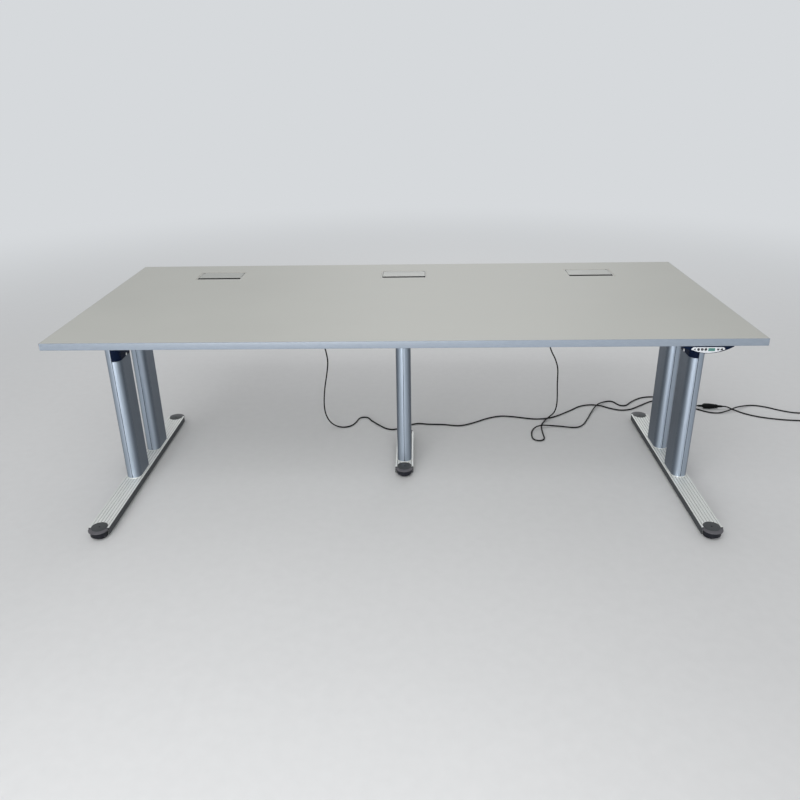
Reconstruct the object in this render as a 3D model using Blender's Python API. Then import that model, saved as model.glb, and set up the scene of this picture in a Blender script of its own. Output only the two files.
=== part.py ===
"""Sit-stand desk for three places: a lifting top on two side legs and a centre leg.

Units are metres, +Z is up and +X runs along the desk. The sizes below are measured from the
floor and from the middle of the top; DESK_SHIFT then puts the origin on the floor in the middle
of the whole desk. The model stands at its lowest setting.
"""

import math

import bmesh
import bpy
import numpy as np
from mathutils import Matrix, Vector

# Fits
GAP = 0.0003            # between pieces that touch
SLIDE_GAP = 0.0008      # round a telescoping tube
KEY_GAP = 0.0004        # round a key in its pocket
HINGE_GAP = 0.0005      # behind a flap lid

# Top
TOP_LENGTH = 2.400
TOP_DEPTH = 1.070
TOP_THICKNESS = 0.025
TOP_HEIGHT = 0.736      # upper face above the floor
TOP_EDGE = 0.002        # edge rounding
PLACES = ("left", "centre", "right")

# Cable flaps
FLAP_WIDTH = 0.198
FLAP_DEPTH = 0.126
FLAP_BACK_INSET = 0.125     # rear of the flap frame to the rear edge of the top
FLAP_LIP = 0.004            # flange that rests in the top's rebate outside the cut-out
FLAP_WALL = 0.0022          # skirt at the sides and the back
FLAP_FRONT_BORDER = 0.010
FLAP_FLANGE = 0.0015
FLAP_SKIRT = 0.045          # how far the frame reaches down from the top face
SLOT_DEPTH = 0.020
LID_THICKNESS = 0.003
LID_BEAD = 0.0025           # radius of the hinge bead, also its depth under the lid's face
LID_PIN = 0.0012
LID_PIN_LENGTH = 0.0014

# Legs
LEG_INSET = 0.093           # end of the top to the middle of a side leg
COLUMN_WIDTH = 0.059
COLUMN_DEPTH = 0.136
COLUMN_NOSE = 0.027         # rise of the rounded nose
COLUMN_WALL = 0.003
NOSE_STEPS = 6
GROOVE_WIDTH = 0.0022
GROOVE_CUT = 0.0014
EDGE_GROOVE_WIDTH = 0.0018
FRONT_COLUMN_Y = -0.1446
REAR_COLUMN_Y = 0.1005
CENTRE_COLUMN_Y = -0.0106
HOUSING_HEIGHT = 0.1331     # drive head between the column's inner half and the arm
SCREEN_GAP = 0.0207         # outer half of the column to the arm
TUBE_WALL = 0.0025
TUBE_CLEARANCE = 0.020      # bottom of the inner tube above the foot
SPIGOT_LENGTH = 0.030
RIB_COUNT = 8
RIB_PITCH = 0.008
RIB_CUT = 0.0014
RIB_START = 0.006           # first rib above the rim
SPINDLE_RADIUS = 0.008
SPINDLE_COLLAR_RADIUS = 0.015
SPINDLE_COLLAR = 0.014
SPINDLE_CLEARANCE = 0.035   # end of the spindle above the foot

# Feet
FOOT_WIDTH = 0.075
FOOT_HEIGHT = 0.028
FOOT_WALL = 0.003
FOOT_GROOVES = 6
FOOT_GROOVE_PITCH = 0.0117
FOOT_GROOVE_WIDTH = 0.0035
FOOT_GROOVE_CUT = 0.0015
BAR_PAST_HOLE = 0.0087      # bar end beyond the middle of the cap's disc
CAP_RIM = 0.0082            # side of the bar outside the cap's disc
CAP_LIP_DROP = 0.004
CAP_LIP_THICKNESS = 0.003   # outer edge of the lip; under it the cap is a smaller round body
CAP_RECESS = 0.0015         # underside of the cap above that of the bar
SIDE_FOOT_FRONT = -0.5628   # middles of the cap discs
SIDE_FOOT_REAR = 0.3817
CENTRE_FOOT_FRONT = -0.1085
CENTRE_FOOT_REAR = 0.2068
GLIDE_RADIUS = 0.025
GLIDE_HEIGHT = 0.011
GLIDE_CHAMFER = 0.003
GLIDE_GAP = 0.001           # disc of the glide to the bar above it
STUD_RADIUS = 0.005
STUD_DROP = 0.004           # end of the stud below the face of the cap

# Frame under the top
ARM_WIDTH = 0.060
ARM_HEIGHT = 0.030
ARM_INSET = 0.115           # end of a side arm to the edge of the top
CENTRE_ARM_FRONT = -0.250
CENTRE_ARM_GAP = 0.034      # rear end of the centre arm to the middle flap
BEAM_WIDTH = 0.060
STEEL_WALL = 0.0025

# Control boxes under the top
BOX_LENGTH = 0.200
BOX_DEPTH = 0.100
BOX_HEIGHT = 0.042
BOX_EDGE = 0.003
GLAND_RADIUS = 0.007
GLAND_LENGTH = 0.015
LEFT_BOX_FLAP_GAP = 0.046   # box to the flap beside it
LEFT_BOX_INSET = 0.130      # rear of the box to the rear edge of the top
RIGHT_BOX_FLAP_GAP = 0.176
RIGHT_BOX_INSET = 0.025

# Handset
HANDSET_INSET = 0.1932      # middle of the handset to the end of the top
HANDSET_FRONT_INSET = 0.003
HANDSET_END = 0.03985       # housing beyond the first and last key
HANDSET_DEPTH = 0.060
HANDSET_DROP = 0.026
HANDSET_SIDE = 0.003
KEY_NAMES = ("key_memory", "key_1", "key_2", "key_3", "key_down", "key_up")
KEYS_LEFT = 4               # keys left of the display
KEY_PITCH = 0.012
KEY_DISPLAY_PITCH = 0.0393  # between the two keys beside the display
KEY_SIZE = 0.0088
KEY_DEPTH = 0.0045
KEY_PROUD = 0.0012
KEY_RISE = 0.0145           # middle of the keys above the housing's lowest point
KEY_BACK_GAP = 0.0015       # room behind a key

# Mains leads
CORD = 0.0062
CORD_SPACING = 0.0186
CORD_POINTS = 78
BEND_WEIGHT = 0.030         # extra points in bends: metres of lead per radian
LOOP_POINTS = 24
TURN_PITCH = 0.0068
COUPLER_LENGTH = 0.115
COUPLER_WIDTH = 0.026
COUPLER_HEIGHT = 0.024
PLUG_RADIUS = 0.0185
PLUG_BODY = 0.036
PLUG_PIN_RADIUS = 0.0024
PLUG_PIN_LENGTH = 0.019
PLUG_PIN_PITCH = 0.019
RELIEF_LENGTH = 0.026
RELIEF_RADIUS = 0.0058

# Worked out from the sizes above
UNDERSIDE = TOP_HEIGHT - TOP_THICKNESS
FRAME_TOP = UNDERSIDE - GAP
FRAME_BOTTOM = FRAME_TOP - ARM_HEIGHT
LEG_X = TOP_LENGTH / 2 - LEG_INSET
PLACE_PITCH = TOP_LENGTH / len(PLACES)
FLAP_Y = TOP_DEPTH / 2 - FLAP_BACK_INSET - FLAP_DEPTH / 2
FLAP_BORDER = FLAP_LIP + GAP + FLAP_WALL
FOOT_BOTTOM = GLIDE_HEIGHT + GLIDE_GAP
FOOT_TOP = FOOT_BOTTOM + FOOT_HEIGHT
FOOT_FRONT_END = SIDE_FOOT_FRONT - BAR_PAST_HOLE - GAP - FOOT_WIDTH / 2
DESK_SHIFT = -(FOOT_FRONT_END + TOP_DEPTH / 2) / 2
CAP_DISC_RADIUS = FOOT_WIDTH / 2 - CAP_RIM
CAP_BODY_RADIUS = math.sqrt(CAP_DISC_RADIUS ** 2 - (BAR_PAST_HOLE + GAP) ** 2)
CAP_BOTTOM = FOOT_BOTTOM + CAP_RECESS
RIM_HEIGHT = FRAME_BOTTOM - HOUSING_HEIGHT - 2 * GAP
OUTER_RIM_HEIGHT = FRAME_BOTTOM - SCREEN_GAP
NOSE_RADIUS = ((COLUMN_WIDTH / 2) ** 2 + COLUMN_NOSE ** 2) / (2 * COLUMN_NOSE)
NOSE_CENTRE = COLUMN_DEPTH / 2 - NOSE_RADIUS
TUBE_INSET = COLUMN_WALL + SLIDE_GAP
LEFT_BOX_END = (-PLACE_PITCH + FLAP_WIDTH / 2 + LEFT_BOX_FLAP_GAP + BOX_LENGTH,
                TOP_DEPTH / 2 - LEFT_BOX_INSET - BOX_DEPTH / 2)
RIGHT_BOX_END = (PLACE_PITCH - FLAP_WIDTH / 2 - RIGHT_BOX_FLAP_GAP,
                 TOP_DEPTH / 2 - RIGHT_BOX_INSET - BOX_DEPTH / 2)
HANDSET_X = TOP_LENGTH / 2 - HANDSET_INSET
KEY_ROW = (len(KEY_NAMES) - 2) * KEY_PITCH + KEY_DISPLAY_PITCH
KEY_PLACES = {
    name: i * KEY_PITCH - KEY_ROW / 2 + (KEY_DISPLAY_PITCH - KEY_PITCH if i >= KEYS_LEFT else 0.0)
    for i, name in enumerate(KEY_NAMES)
}
HANDSET_WIDTH = KEY_ROW + 2 * HANDSET_END
KEY_Z = FRAME_TOP - HANDSET_DROP + KEY_RISE
FLOOR = CORD / 2 + GAP
CORD_EXIT_Z = FRAME_TOP - BOX_HEIGHT / 2

# Routes of the leads, point by point
LEFT_ROUTE = [
    (-0.424, 0.355, CORD_EXIT_Z), (-0.405, 0.355, 0.684), (-0.392, 0.355, 0.664),
    (-0.386, 0.355, 0.630), (-0.384, 0.355, 0.560), (-0.379, 0.355, 0.470),
    (-0.370, 0.355, 0.415), (-0.362, 0.355, 0.380), (-0.356, 0.355, 0.330),
    (-0.364, 0.355, 0.267), (-0.377, 0.355, 0.195), (-0.384, 0.355, 0.121),
    (-0.380, 0.354, 0.070), (-0.363, 0.352, 0.030), (-0.334, 0.346, 0.008),
    (-0.295, 0.338, FLOOR), (-0.262, 0.352, FLOOR), (-0.241, 0.391, FLOOR),
    (-0.2289, 0.4312, FLOOR), (-0.2180, 0.4448, FLOOR), (-0.2035, 0.449, FLOOR),
    (-0.1890, 0.4448, FLOOR), (-0.1801, 0.4355, FLOOR), (-0.165, 0.408, FLOOR),
    (-0.134, 0.367, FLOOR),
    (-0.094, 0.323, FLOOR), (-0.063, 0.311, FLOOR), (-0.030, 0.322, FLOOR),
    (0.027, 0.363, FLOOR), (0.060, 0.375, FLOOR), (0.103, 0.367, FLOOR),
    (0.179, 0.362, FLOOR), (0.253, 0.349, FLOOR), (0.315, 0.375, FLOOR),
    (0.391, 0.427, FLOOR), (0.456, 0.453, FLOOR), (0.520, 0.446, FLOOR),
    (0.621, 0.419, FLOOR), (0.690, 0.430, FLOOR), (0.738, 0.458, FLOOR),
    (0.807, 0.515, FLOOR), (0.866, 0.566, FLOOR), (0.920, 0.583, FLOOR),
    (0.967, 0.572, FLOOR), (1.008, 0.540, FLOOR), (1.052, 0.518, FLOOR),
    (1.103, 0.526, FLOOR), (1.165, 0.571, FLOOR), (1.234, 0.622, FLOOR),
    (1.284, 0.630, FLOOR), (1.336, 0.606, FLOOR), (1.384, 0.568, FLOOR),
    (1.450, 0.506, FLOOR), (1.482, 0.484, FLOOR), (1.518, 0.479, FLOOR),
    (1.570, 0.496, 0.0075), (1.613, 0.519, 0.0130), (1.668, 0.553, 0.0065),
    (1.717, 0.566, FLOOR), (1.770, 0.546, FLOOR), (1.824, 0.506, FLOOR),
    (1.872, 0.480, FLOOR), (1.915, 0.4725, FLOOR), (1.945, 0.472, FLOOR),
]
RIGHT_ROUTE = [
    (0.556, 0.460, CORD_EXIT_Z), (0.580, 0.461, 0.683), (0.598, 0.464, 0.664),
    (0.610, 0.468, 0.635), (0.622, 0.474, 0.585), (0.640, 0.483, 0.510),
    (0.660, 0.492, 0.430), (0.677, 0.498, 0.365), (0.692, 0.500, 0.322),
    (0.714, 0.500, 0.278), (0.728, 0.500, 0.232), (0.732, 0.500, 0.146),
    (0.736, 0.498, 0.076), (0.733, 0.490, 0.036), (0.722, 0.472, 0.017),
    (0.705, 0.448, 0.0115), (0.688, 0.426, 0.0105), (0.665, 0.396, 0.0060),
    (0.645, 0.360, FLOOR), (0.6365, 0.310, FLOOR), (0.6345, 0.250, FLOOR),
    (0.634, 0.2155, FLOOR), (0.6262, 0.1968, FLOOR), (0.6075, 0.189, FLOOR),
    (0.5888, 0.1968, FLOOR), (0.581, 0.2155, FLOOR), (0.581, 0.249, FLOOR),
    (0.589, 0.288, 0.0050), (0.609, 0.317, 0.0085),
    (0.638, 0.332, 0.0110), (0.670, 0.340, 0.0070), (0.718, 0.340, FLOOR),
    (0.768, 0.327, FLOOR), (0.806, 0.326, FLOOR), (0.837, 0.352, FLOOR),
    (0.872, 0.418, FLOOR), (0.908, 0.495, 0.0055), (0.936, 0.546, 0.0100),
    (0.958, 0.575, 0.0115), (0.988, 0.607, 0.0065), (1.0071, 0.6223, FLOOR),
    (1.022, 0.627, FLOOR), (1.035, 0.6235, FLOOR), (1.0452, 0.6128, FLOOR),
    (1.0578, 0.5847, FLOOR), (1.0661, 0.5752, FLOOR), (1.081, 0.5705, FLOOR),
    (1.094, 0.574, FLOOR), (1.1005, 0.5793, FLOOR), (1.132, 0.616, FLOOR),
    (1.180, 0.658, FLOOR), (1.222, 0.676, FLOOR), (1.268, 0.677, FLOOR),
    (1.322, 0.656, FLOOR), (1.362, 0.6215, 0.0050), (1.3891, 0.5884, 0.0085),
    (1.4137, 0.5569, 0.0115), (1.4233, 0.5489, 0.0121), (1.435, 0.5455, 0.0123),
]
EXTENSION_ROUTE = [
    (1.5636, 0.5354, 0.0123), (1.577, 0.5332, 0.0108), (1.592, 0.5265, 0.0060),
    (1.607, 0.513, FLOOR), (1.629, 0.481, FLOOR), (1.668, 0.447, FLOOR),
    (1.720, 0.420, FLOOR), (1.790, 0.399, FLOOR), (1.850, 0.3895, FLOOR),
    (1.885, 0.387, FLOOR),
]
COUPLER_START = (1.441, 0.545)
COUPLER_END_Y = 0.536
LEFT_COIL_ENTRY = (1.980, 0.472)
LEFT_COIL_TURNS = 2
LEFT_COIL_RADIUS = 0.037
EXTENSION_COIL_ENTRY = (1.920, 0.387)
EXTENSION_COIL_TURNS = 5
EXTENSION_COIL_RADIUS = 0.0425
TAIL = 0.045                # lead between the end of a coil and its plug

# Finishes: colour, roughness and metallic value
FINISHES = {
    "light_grey_laminate": ((0.47, 0.48, 0.45), 0.55, 0.0),
    "flap_grey": ((0.43, 0.44, 0.42), 0.50, 0.0),
    "anodised_aluminium": ((0.60, 0.61, 0.62), 0.35, 1.0),
    "ribbed_aluminium": ((0.62, 0.62, 0.60), 0.42, 1.0),
    "dark_grey_plastic": ((0.075, 0.075, 0.085), 0.60, 0.0),
    "black_plastic": ((0.012, 0.013, 0.018), 0.45, 0.0),
    "silver_paint": ((0.50, 0.51, 0.52), 0.45, 0.6),
    "bright_steel": ((0.55, 0.56, 0.57), 0.30, 1.0),
    "key_grey": ((0.55, 0.56, 0.57), 0.50, 0.0),
    "black_pvc": ((0.010, 0.010, 0.011), 0.50, 0.0),
}


def clear_scene():
    """Remove every object of the open scene."""
    for item in list(bpy.data.objects):
        bpy.data.objects.remove(item, do_unlink=True)


def finish(name):
    """Return the named Principled material, made on first use."""
    found = bpy.data.materials.get(name)
    if found:
        return found
    colour, roughness, metallic = FINISHES[name]
    made = bpy.data.materials.new(name)
    made.use_nodes = True
    shader = made.node_tree.nodes["Principled BSDF"]
    shader.inputs["Base Color"].default_value = (*colour, 1.0)
    shader.inputs["Roughness"].default_value = roughness
    shader.inputs["Metallic"].default_value = metallic
    return made


def add_piece(name, mesh, desk, place, finish_name, turn=0.0):
    """Put a mesh into the scene as one named piece of the desk."""
    piece = bpy.data.objects.new(name, mesh)
    bpy.context.scene.collection.objects.link(piece)
    piece.parent = desk
    piece.location = place
    piece.rotation_euler = (0.0, 0.0, turn)
    mesh.materials.append(finish(finish_name))
    mesh.shade_smooth()
    mesh.set_sharp_from_angle(angle=math.radians(32))
    return piece


def closed_mesh(points, faces):
    """Build a mesh, merge double points and turn its faces outwards."""
    mesh = bpy.data.meshes.new("piece")
    mesh.from_pydata(points, [], faces)
    work = bmesh.new()
    work.from_mesh(mesh)
    bmesh.ops.remove_doubles(work, verts=work.verts, dist=1e-7)
    bmesh.ops.recalc_face_normals(work, faces=work.faces)
    work.to_mesh(mesh)
    work.free()
    return mesh


def loft(rings, closed=False):
    """Skin rings of equal counts; closed joins the last ring to the first, else ends are filled."""
    count = len(rings[0])
    points = [point for ring in rings for point in ring]
    pairs = len(rings) if closed else len(rings) - 1
    faces = []
    for row in range(pairs):
        low = row * count
        high = (row + 1) % len(rings) * count
        for i in range(count):
            j = (i + 1) % count
            faces.append((low + i, low + j, high + j, high + i))
    if not closed:
        faces.append(tuple(range(count)))
        faces.append(tuple(range(len(points) - count, len(points))))
    return closed_mesh(points, faces)


def circle(radius, z, steps):
    """Ring of points round the Z axis."""
    angles = [2 * math.pi * i / steps for i in range(steps)]
    return [(radius * math.cos(a), radius * math.sin(a), z) for a in angles]


def turned(profile, steps=16):
    """Solid of revolution about Z from (radius, height) pairs, bottom to top."""
    return loft([circle(radius, z, steps) for radius, z in profile])


def rectangle(width, depth, z, middle=(0.0, 0.0)):
    """Rectangular ring in plan."""
    x, y = middle
    corners = ((1, -1), (1, 1), (-1, 1), (-1, -1))
    return [(x + a * width / 2, y + b * depth / 2, z) for a, b in corners]


def block(low, high):
    """Box between two corners."""
    size = [b - a for a, b in zip(low, high)]
    middle = [(a + b) / 2 for a, b in zip(low, high)]
    return loft([rectangle(size[0], size[1], z, middle[:2]) for z in (low[2], high[2])])


def moved(mesh, matrix):
    """Return the mesh after a transform, faces outwards."""
    mesh.transform(matrix)
    if matrix.determinant() < 0:
        mesh.flip_normals()
    return mesh


def along_x(mesh):
    """Turn a mesh drawn along Z so that it runs along X, with its own X to +Y and Y to +Z."""
    return moved(mesh, Matrix(((0, 0, 1, 0), (1, 0, 0, 0), (0, 1, 0, 0), (0, 0, 0, 1))))


def along_y(mesh):
    """Turn a mesh drawn along Z so that it runs along -Y, with its own Y to +Z."""
    return moved(mesh, Matrix.Rotation(math.pi / 2, 4, "X"))


def combined(target, tool, operation):
    """Mesh of target after a Boolean with tool."""
    base = bpy.data.objects.new("base", target)
    cutter = bpy.data.objects.new("cutter", tool)
    for item in (base, cutter):
        bpy.context.scene.collection.objects.link(item)
    change = base.modifiers.new("change", "BOOLEAN")
    change.operation = operation
    change.object = cutter
    change.use_self = True
    graph = bpy.context.evaluated_depsgraph_get()
    result = bpy.data.meshes.new_from_object(base.evaluated_get(graph))
    for item in (base, cutter):
        bpy.data.objects.remove(item, do_unlink=True)
    return result


def cut(target, tool):
    """Target with the tool's shape taken away."""
    return combined(target, tool, "DIFFERENCE")


def merged(meshes):
    """One mesh that holds several separate shapes, for use as a cutter."""
    work = bmesh.new()
    for mesh in meshes:
        work.from_mesh(mesh)
    result = bpy.data.meshes.new("cutters")
    work.to_mesh(result)
    work.free()
    return result


def rounded(mesh, width, segments=2):
    """Mesh with its sharp edges rounded."""
    item = bpy.data.objects.new("rounding", mesh)
    bpy.context.scene.collection.objects.link(item)
    bevel = item.modifiers.new("bevel", "BEVEL")
    bevel.width = width
    bevel.segments = segments
    bevel.limit_method = "ANGLE"
    graph = bpy.context.evaluated_depsgraph_get()
    result = bpy.data.meshes.new_from_object(item.evaluated_get(graph))
    bpy.data.objects.remove(item, do_unlink=True)
    return result


def oval(inset, groove_cut=0.0):
    """Plan points of the column profile moved inwards by inset, from the front nose round +X."""
    half_width = COLUMN_WIDTH / 2 - inset
    radius = NOSE_RADIUS - inset
    half_groove = GROOVE_WIDTH / 2
    first = math.asin(half_groove / radius)
    edge = math.asin(half_width / radius)
    last = edge - EDGE_GROOVE_WIDTH / 2 / radius
    edge_y = NOSE_CENTRE + radius * math.cos(edge)
    quarter = [(half_groove, NOSE_CENTRE + radius * math.cos(first) - groove_cut)]
    for step in range(NOSE_STEPS + 1):
        angle = first + (last - first) * step / NOSE_STEPS
        quarter.append((radius * math.sin(angle), NOSE_CENTRE + radius * math.cos(angle)))
    quarter.append((half_width - groove_cut * math.sin(edge), edge_y - groove_cut * math.cos(edge)))
    quarter.append((half_width, edge_y - EDGE_GROOVE_WIDTH / 2))
    back = quarter[::-1]
    return ([(x, -y) for x, y in quarter] + [(x, y) for x, y in back]
            + [(-x, y) for x, y in quarter] + [(-x, -y) for x, y in back])


def at_height(outline, z):
    """Plan points lifted to a height."""
    return [(x, y, z) for x, y in outline]


def tube(outer, inner, low, high):
    """Hollow upright profile between two heights."""
    return loft([at_height(outer, low), at_height(outer, high),
                 at_height(inner, high), at_height(inner, low)], closed=True)


def lower_column(inner_side):
    """Fixed column: a grooved profile whose inner half ends lower than its outer half."""
    profile = tube(oval(0.0, GROOVE_CUT), oval(COLUMN_WALL), FOOT_TOP + GAP, OUTER_RIM_HEIGHT)
    reach = COLUMN_DEPTH
    window = block((-GROOVE_WIDTH / 2, -reach, RIM_HEIGHT), (reach, reach, OUTER_RIM_HEIGHT + reach))
    if inner_side < 0:
        moved(window, Matrix.Scale(-1, 4, (1, 0, 0)))
    return cut(profile, window)


def inner_tube(top):
    """Telescoping tube that ends at the given height."""
    outer = oval(TUBE_INSET)
    inner = oval(TUBE_INSET + TUBE_WALL)
    return tube(outer, inner, FOOT_TOP + TUBE_CLEARANCE, top)


def motor_housing(inner_side):
    """Drive head: spigot in the tube, full profile on the inner half, ribs on the front nose."""
    bottom = RIM_HEIGHT + GAP
    slim = oval(TUBE_INSET)
    full = oval(0.0)
    ribbed = oval(RIB_CUT)
    spigot = oval(TUBE_INSET + TUBE_WALL + GAP)
    body = []
    valley = []
    for thin, wide, root in zip(slim, full, ribbed):
        shown = wide[0] * inner_side > 0
        body.append(wide if shown else thin)
        on_nose = shown and wide[1] < -NOSE_CENTRE
        valley.append(root if on_nose else body[-1])
    rings = [at_height(spigot, bottom - SPIGOT_LENGTH), at_height(spigot, bottom), at_height(body, bottom)]
    for rib in range(RIB_COUNT):
        crest = bottom + RIB_START + rib * RIB_PITCH
        rings.append(at_height(body, crest))
        rings.append(at_height(valley, crest + RIB_PITCH / 2))
    rings.append(at_height(body, bottom + RIB_START + RIB_COUNT * RIB_PITCH))
    rings.append(at_height(body, FRAME_BOTTOM - GAP))
    return loft(rings)


def spindle(top):
    """Lifting spindle with its bearing collar; its origin is on the turning axis."""
    low = FOOT_TOP + SPINDLE_CLEARANCE
    collar = top - SPINDLE_COLLAR
    return turned([(SPINDLE_RADIUS, low), (SPINDLE_RADIUS, collar),
                   (SPINDLE_COLLAR_RADIUS, collar), (SPINDLE_COLLAR_RADIUS, top)])


def foot_bar(front, rear):
    """Ribbed hollow bar between two cap discs, its ends hollowed to hold the caps."""
    half = FOOT_WIDTH / 2
    outline = [(-half, FOOT_BOTTOM), (half, FOOT_BOTTOM), (half, FOOT_TOP)]
    for groove in reversed(range(FOOT_GROOVES)):
        middle = (groove - (FOOT_GROOVES - 1) / 2) * FOOT_GROOVE_PITCH
        for side, height in ((1, FOOT_TOP), (1, FOOT_TOP - FOOT_GROOVE_CUT),
                             (-1, FOOT_TOP - FOOT_GROOVE_CUT), (-1, FOOT_TOP)):
            outline.append((middle + side * FOOT_GROOVE_WIDTH / 2, height))
    outline.append((-half, FOOT_TOP))
    narrow = (half - FOOT_WALL) / half
    floor = FOOT_BOTTOM + FOOT_WALL
    roof = FOOT_TOP - FOOT_GROOVE_CUT - FOOT_WALL
    hollow = [(x * narrow, floor if z == FOOT_BOTTOM else roof) for x, z in outline]
    start = front - BAR_PAST_HOLE
    end = rear + BAR_PAST_HOLE
    rings = [[(x, y, z) for x, z in shape]
             for shape, y in ((outline, start), (outline, end), (hollow, end), (hollow, start))]
    bar = loft(rings, closed=True)
    for hole in (front, rear):
        seat = turned([(CAP_DISC_RADIUS + GAP, 0.0), (CAP_DISC_RADIUS + GAP, 2 * FOOT_TOP)], steps=32)
        bar = cut(bar, moved(seat, Matrix.Translation((0.0, hole, 0.0))))
    return bar


def foot_cap(steps=16):
    """End cap with its disc at the origin: flat disc, thin sloping lip towards -Y, round body and bore."""
    half = FOOT_WIDTH / 2
    end = -BAR_PAST_HOLE - GAP
    tip = math.asin(end / CAP_DISC_RADIUS)
    lip_z = FOOT_TOP - CAP_LIP_DROP

    def arc(radius, first, last, z, y=0.0):
        angles = [first + (last - first) * i / steps for i in range(steps + 1)]
        return [(radius * math.cos(a), y + radius * math.sin(a), z) for a in angles]

    front = arc(CAP_DISC_RADIUS, tip, -math.pi - tip, FOOT_TOP)
    back = arc(CAP_DISC_RADIUS, math.pi - tip, tip, FOOT_TOP)
    lip = arc(half, 0.0, -math.pi, lip_z, end)
    skirt = arc(half, 0.0, -math.pi, CAP_BOTTOM, end)
    back_low = arc(CAP_DISC_RADIUS, math.pi - tip, tip, CAP_BOTTOM)
    rows = [front, back, lip, skirt, back_low]
    points = [point for row in rows for point in row]
    first = {name: i * (steps + 1) for i, name in enumerate(("front", "back", "lip", "skirt", "low"))}
    faces = []
    for upper, lower in (("front", "lip"), ("lip", "skirt"), ("back", "low")):
        for i in range(steps):
            a, b = first[upper] + i, first[lower] + i
            faces.append((a, a + 1, b + 1, b))
    faces.append(tuple(range(first["front"], first["front"] + steps))
                 + tuple(range(first["back"], first["back"] + steps)))
    faces.append(tuple(range(first["skirt"], first["skirt"] + steps + 1))
                 + tuple(range(first["low"], first["low"] + steps + 1)))
    for end_index, low_index in ((0, steps), (steps, 0)):
        faces.append((first["front"] + end_index, first["lip"] + end_index,
                      first["skirt"] + end_index, first["low"] + low_index))
    cap = closed_mesh(points, faces)
    under_lip = lip_z - CAP_LIP_THICKNESS
    around = turned([(FOOT_WIDTH, 0.0), (FOOT_WIDTH, under_lip)])
    body = turned([(CAP_BODY_RADIUS, -under_lip), (CAP_BODY_RADIUS, 2 * under_lip)], steps=32)
    cap = cut(cap, moved(cut(around, body), Matrix.Translation((0.0, end, 0.0))))
    return cut(cap, turned([(STUD_RADIUS + GAP, 0.0), (STUD_RADIUS + GAP, 2 * FOOT_TOP)]))


def glide():
    """Levelling glide: a disc on the floor with its stud; its origin is on the turning axis."""
    return turned([(GLIDE_RADIUS - GLIDE_CHAMFER, 0.0), (GLIDE_RADIUS, GLIDE_CHAMFER),
                   (GLIDE_RADIUS, GLIDE_HEIGHT - GLIDE_CHAMFER), (GLIDE_RADIUS - GLIDE_CHAMFER, GLIDE_HEIGHT),
                   (STUD_RADIUS, GLIDE_HEIGHT), (STUD_RADIUS, FOOT_TOP - STUD_DROP)])


def desk_top(flap_places):
    """Board with rounded edges and a rebated cut-out for each cable flap."""
    half = Vector((TOP_LENGTH / 2, TOP_DEPTH / 2, 0.0))
    board = rounded(block((-half.x, -half.y, UNDERSIDE), (half.x, half.y, TOP_HEIGHT)), TOP_EDGE)
    rebate_floor = TOP_HEIGHT - FLAP_FLANGE - GAP
    for margin, bottom in ((GAP, rebate_floor), (-FLAP_LIP, UNDERSIDE - TOP_THICKNESS)):
        width = FLAP_WIDTH / 2 + margin
        depth = FLAP_DEPTH / 2 + margin
        holes = [block((x - width, y - depth, bottom), (x + width, y + depth, TOP_HEIGHT + TOP_THICKNESS))
                 for x, y in flap_places]
        board = cut(board, merged(holes))
    return board


def flap_opening():
    """Clear opening of a flap frame: half width, front and rear, from the flap's middle."""
    front = -FLAP_DEPTH / 2 + FLAP_FRONT_BORDER
    rear = FLAP_DEPTH / 2 - FLAP_BORDER
    return FLAP_WIDTH / 2 - FLAP_BORDER, front, rear


def hinge_place():
    """Hinge axis of a lid, from the flap's middle and the top face."""
    rear = flap_opening()[2]
    return rear - HINGE_GAP - LID_BEAD, -LID_BEAD


def flap_frame():
    """Frame with a flange level with the top face, a skirt through the cut-out and two hinge sockets."""
    half_width, front, rear = flap_opening()
    middle = (0.0, (front + rear) / 2)
    clear = (2 * half_width, rear - front)
    skirt = (FLAP_WIDTH - 2 * FLAP_LIP - 2 * GAP, FLAP_DEPTH - 2 * FLAP_LIP - 2 * GAP)
    low = -FLAP_SKIRT
    frame = loft([rectangle(FLAP_WIDTH, FLAP_DEPTH, -FLAP_FLANGE), rectangle(FLAP_WIDTH, FLAP_DEPTH, 0.0),
                  rectangle(*clear, 0.0, middle), rectangle(*clear, low, middle),
                  rectangle(*skirt, low), rectangle(*skirt, -FLAP_FLANGE)], closed=True)
    hinge_y, hinge_z = hinge_place()
    reach = half_width + LID_PIN_LENGTH + GAP
    sockets = along_x(turned([(LID_PIN + GAP, -reach), (LID_PIN + GAP, reach)], steps=12))
    return cut(frame, moved(sockets, Matrix.Translation((0.0, hinge_y, hinge_z))))


def flap_lid():
    """Lid with its hinge axis at the origin: plate, rounded bead behind and a pin at each end."""
    half_width, front, _ = flap_opening()
    lid_front = front + SLOT_DEPTH - hinge_place()[0]
    steps = 8
    bead = [math.pi / 2 - math.pi * i / steps for i in range(steps + 1)]
    section = [(LID_BEAD * math.cos(a), LID_BEAD * math.sin(a)) for a in bead]
    under = LID_BEAD - LID_THICKNESS
    section += [(-LID_BEAD, -LID_BEAD), (-LID_BEAD, under), (lid_front, under), (lid_front, LID_BEAD)]
    count = len(section)
    turn = [math.pi / 2 - 2 * math.pi * i / count for i in range(count)]
    pin = [(LID_PIN * math.cos(a), LID_PIN * math.sin(a)) for a in turn]
    body = half_width - HINGE_GAP
    tip = half_width + LID_PIN_LENGTH
    rings = [(pin, -tip), (pin, -body), (section, -body), (section, body), (pin, body), (pin, tip)]
    return along_x(loft([[(y, z, x) for y, z in shape] for shape, x in rings]))


def steel_bar(width, height, length):
    """Rectangular steel tube drawn along Z, centred on its length."""
    inner = (width - 2 * STEEL_WALL, height - 2 * STEEL_WALL)
    half = length / 2
    return loft([rectangle(width, height, -half), rectangle(width, height, half),
                 rectangle(*inner, half), rectangle(*inner, -half)], closed=True)


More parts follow.
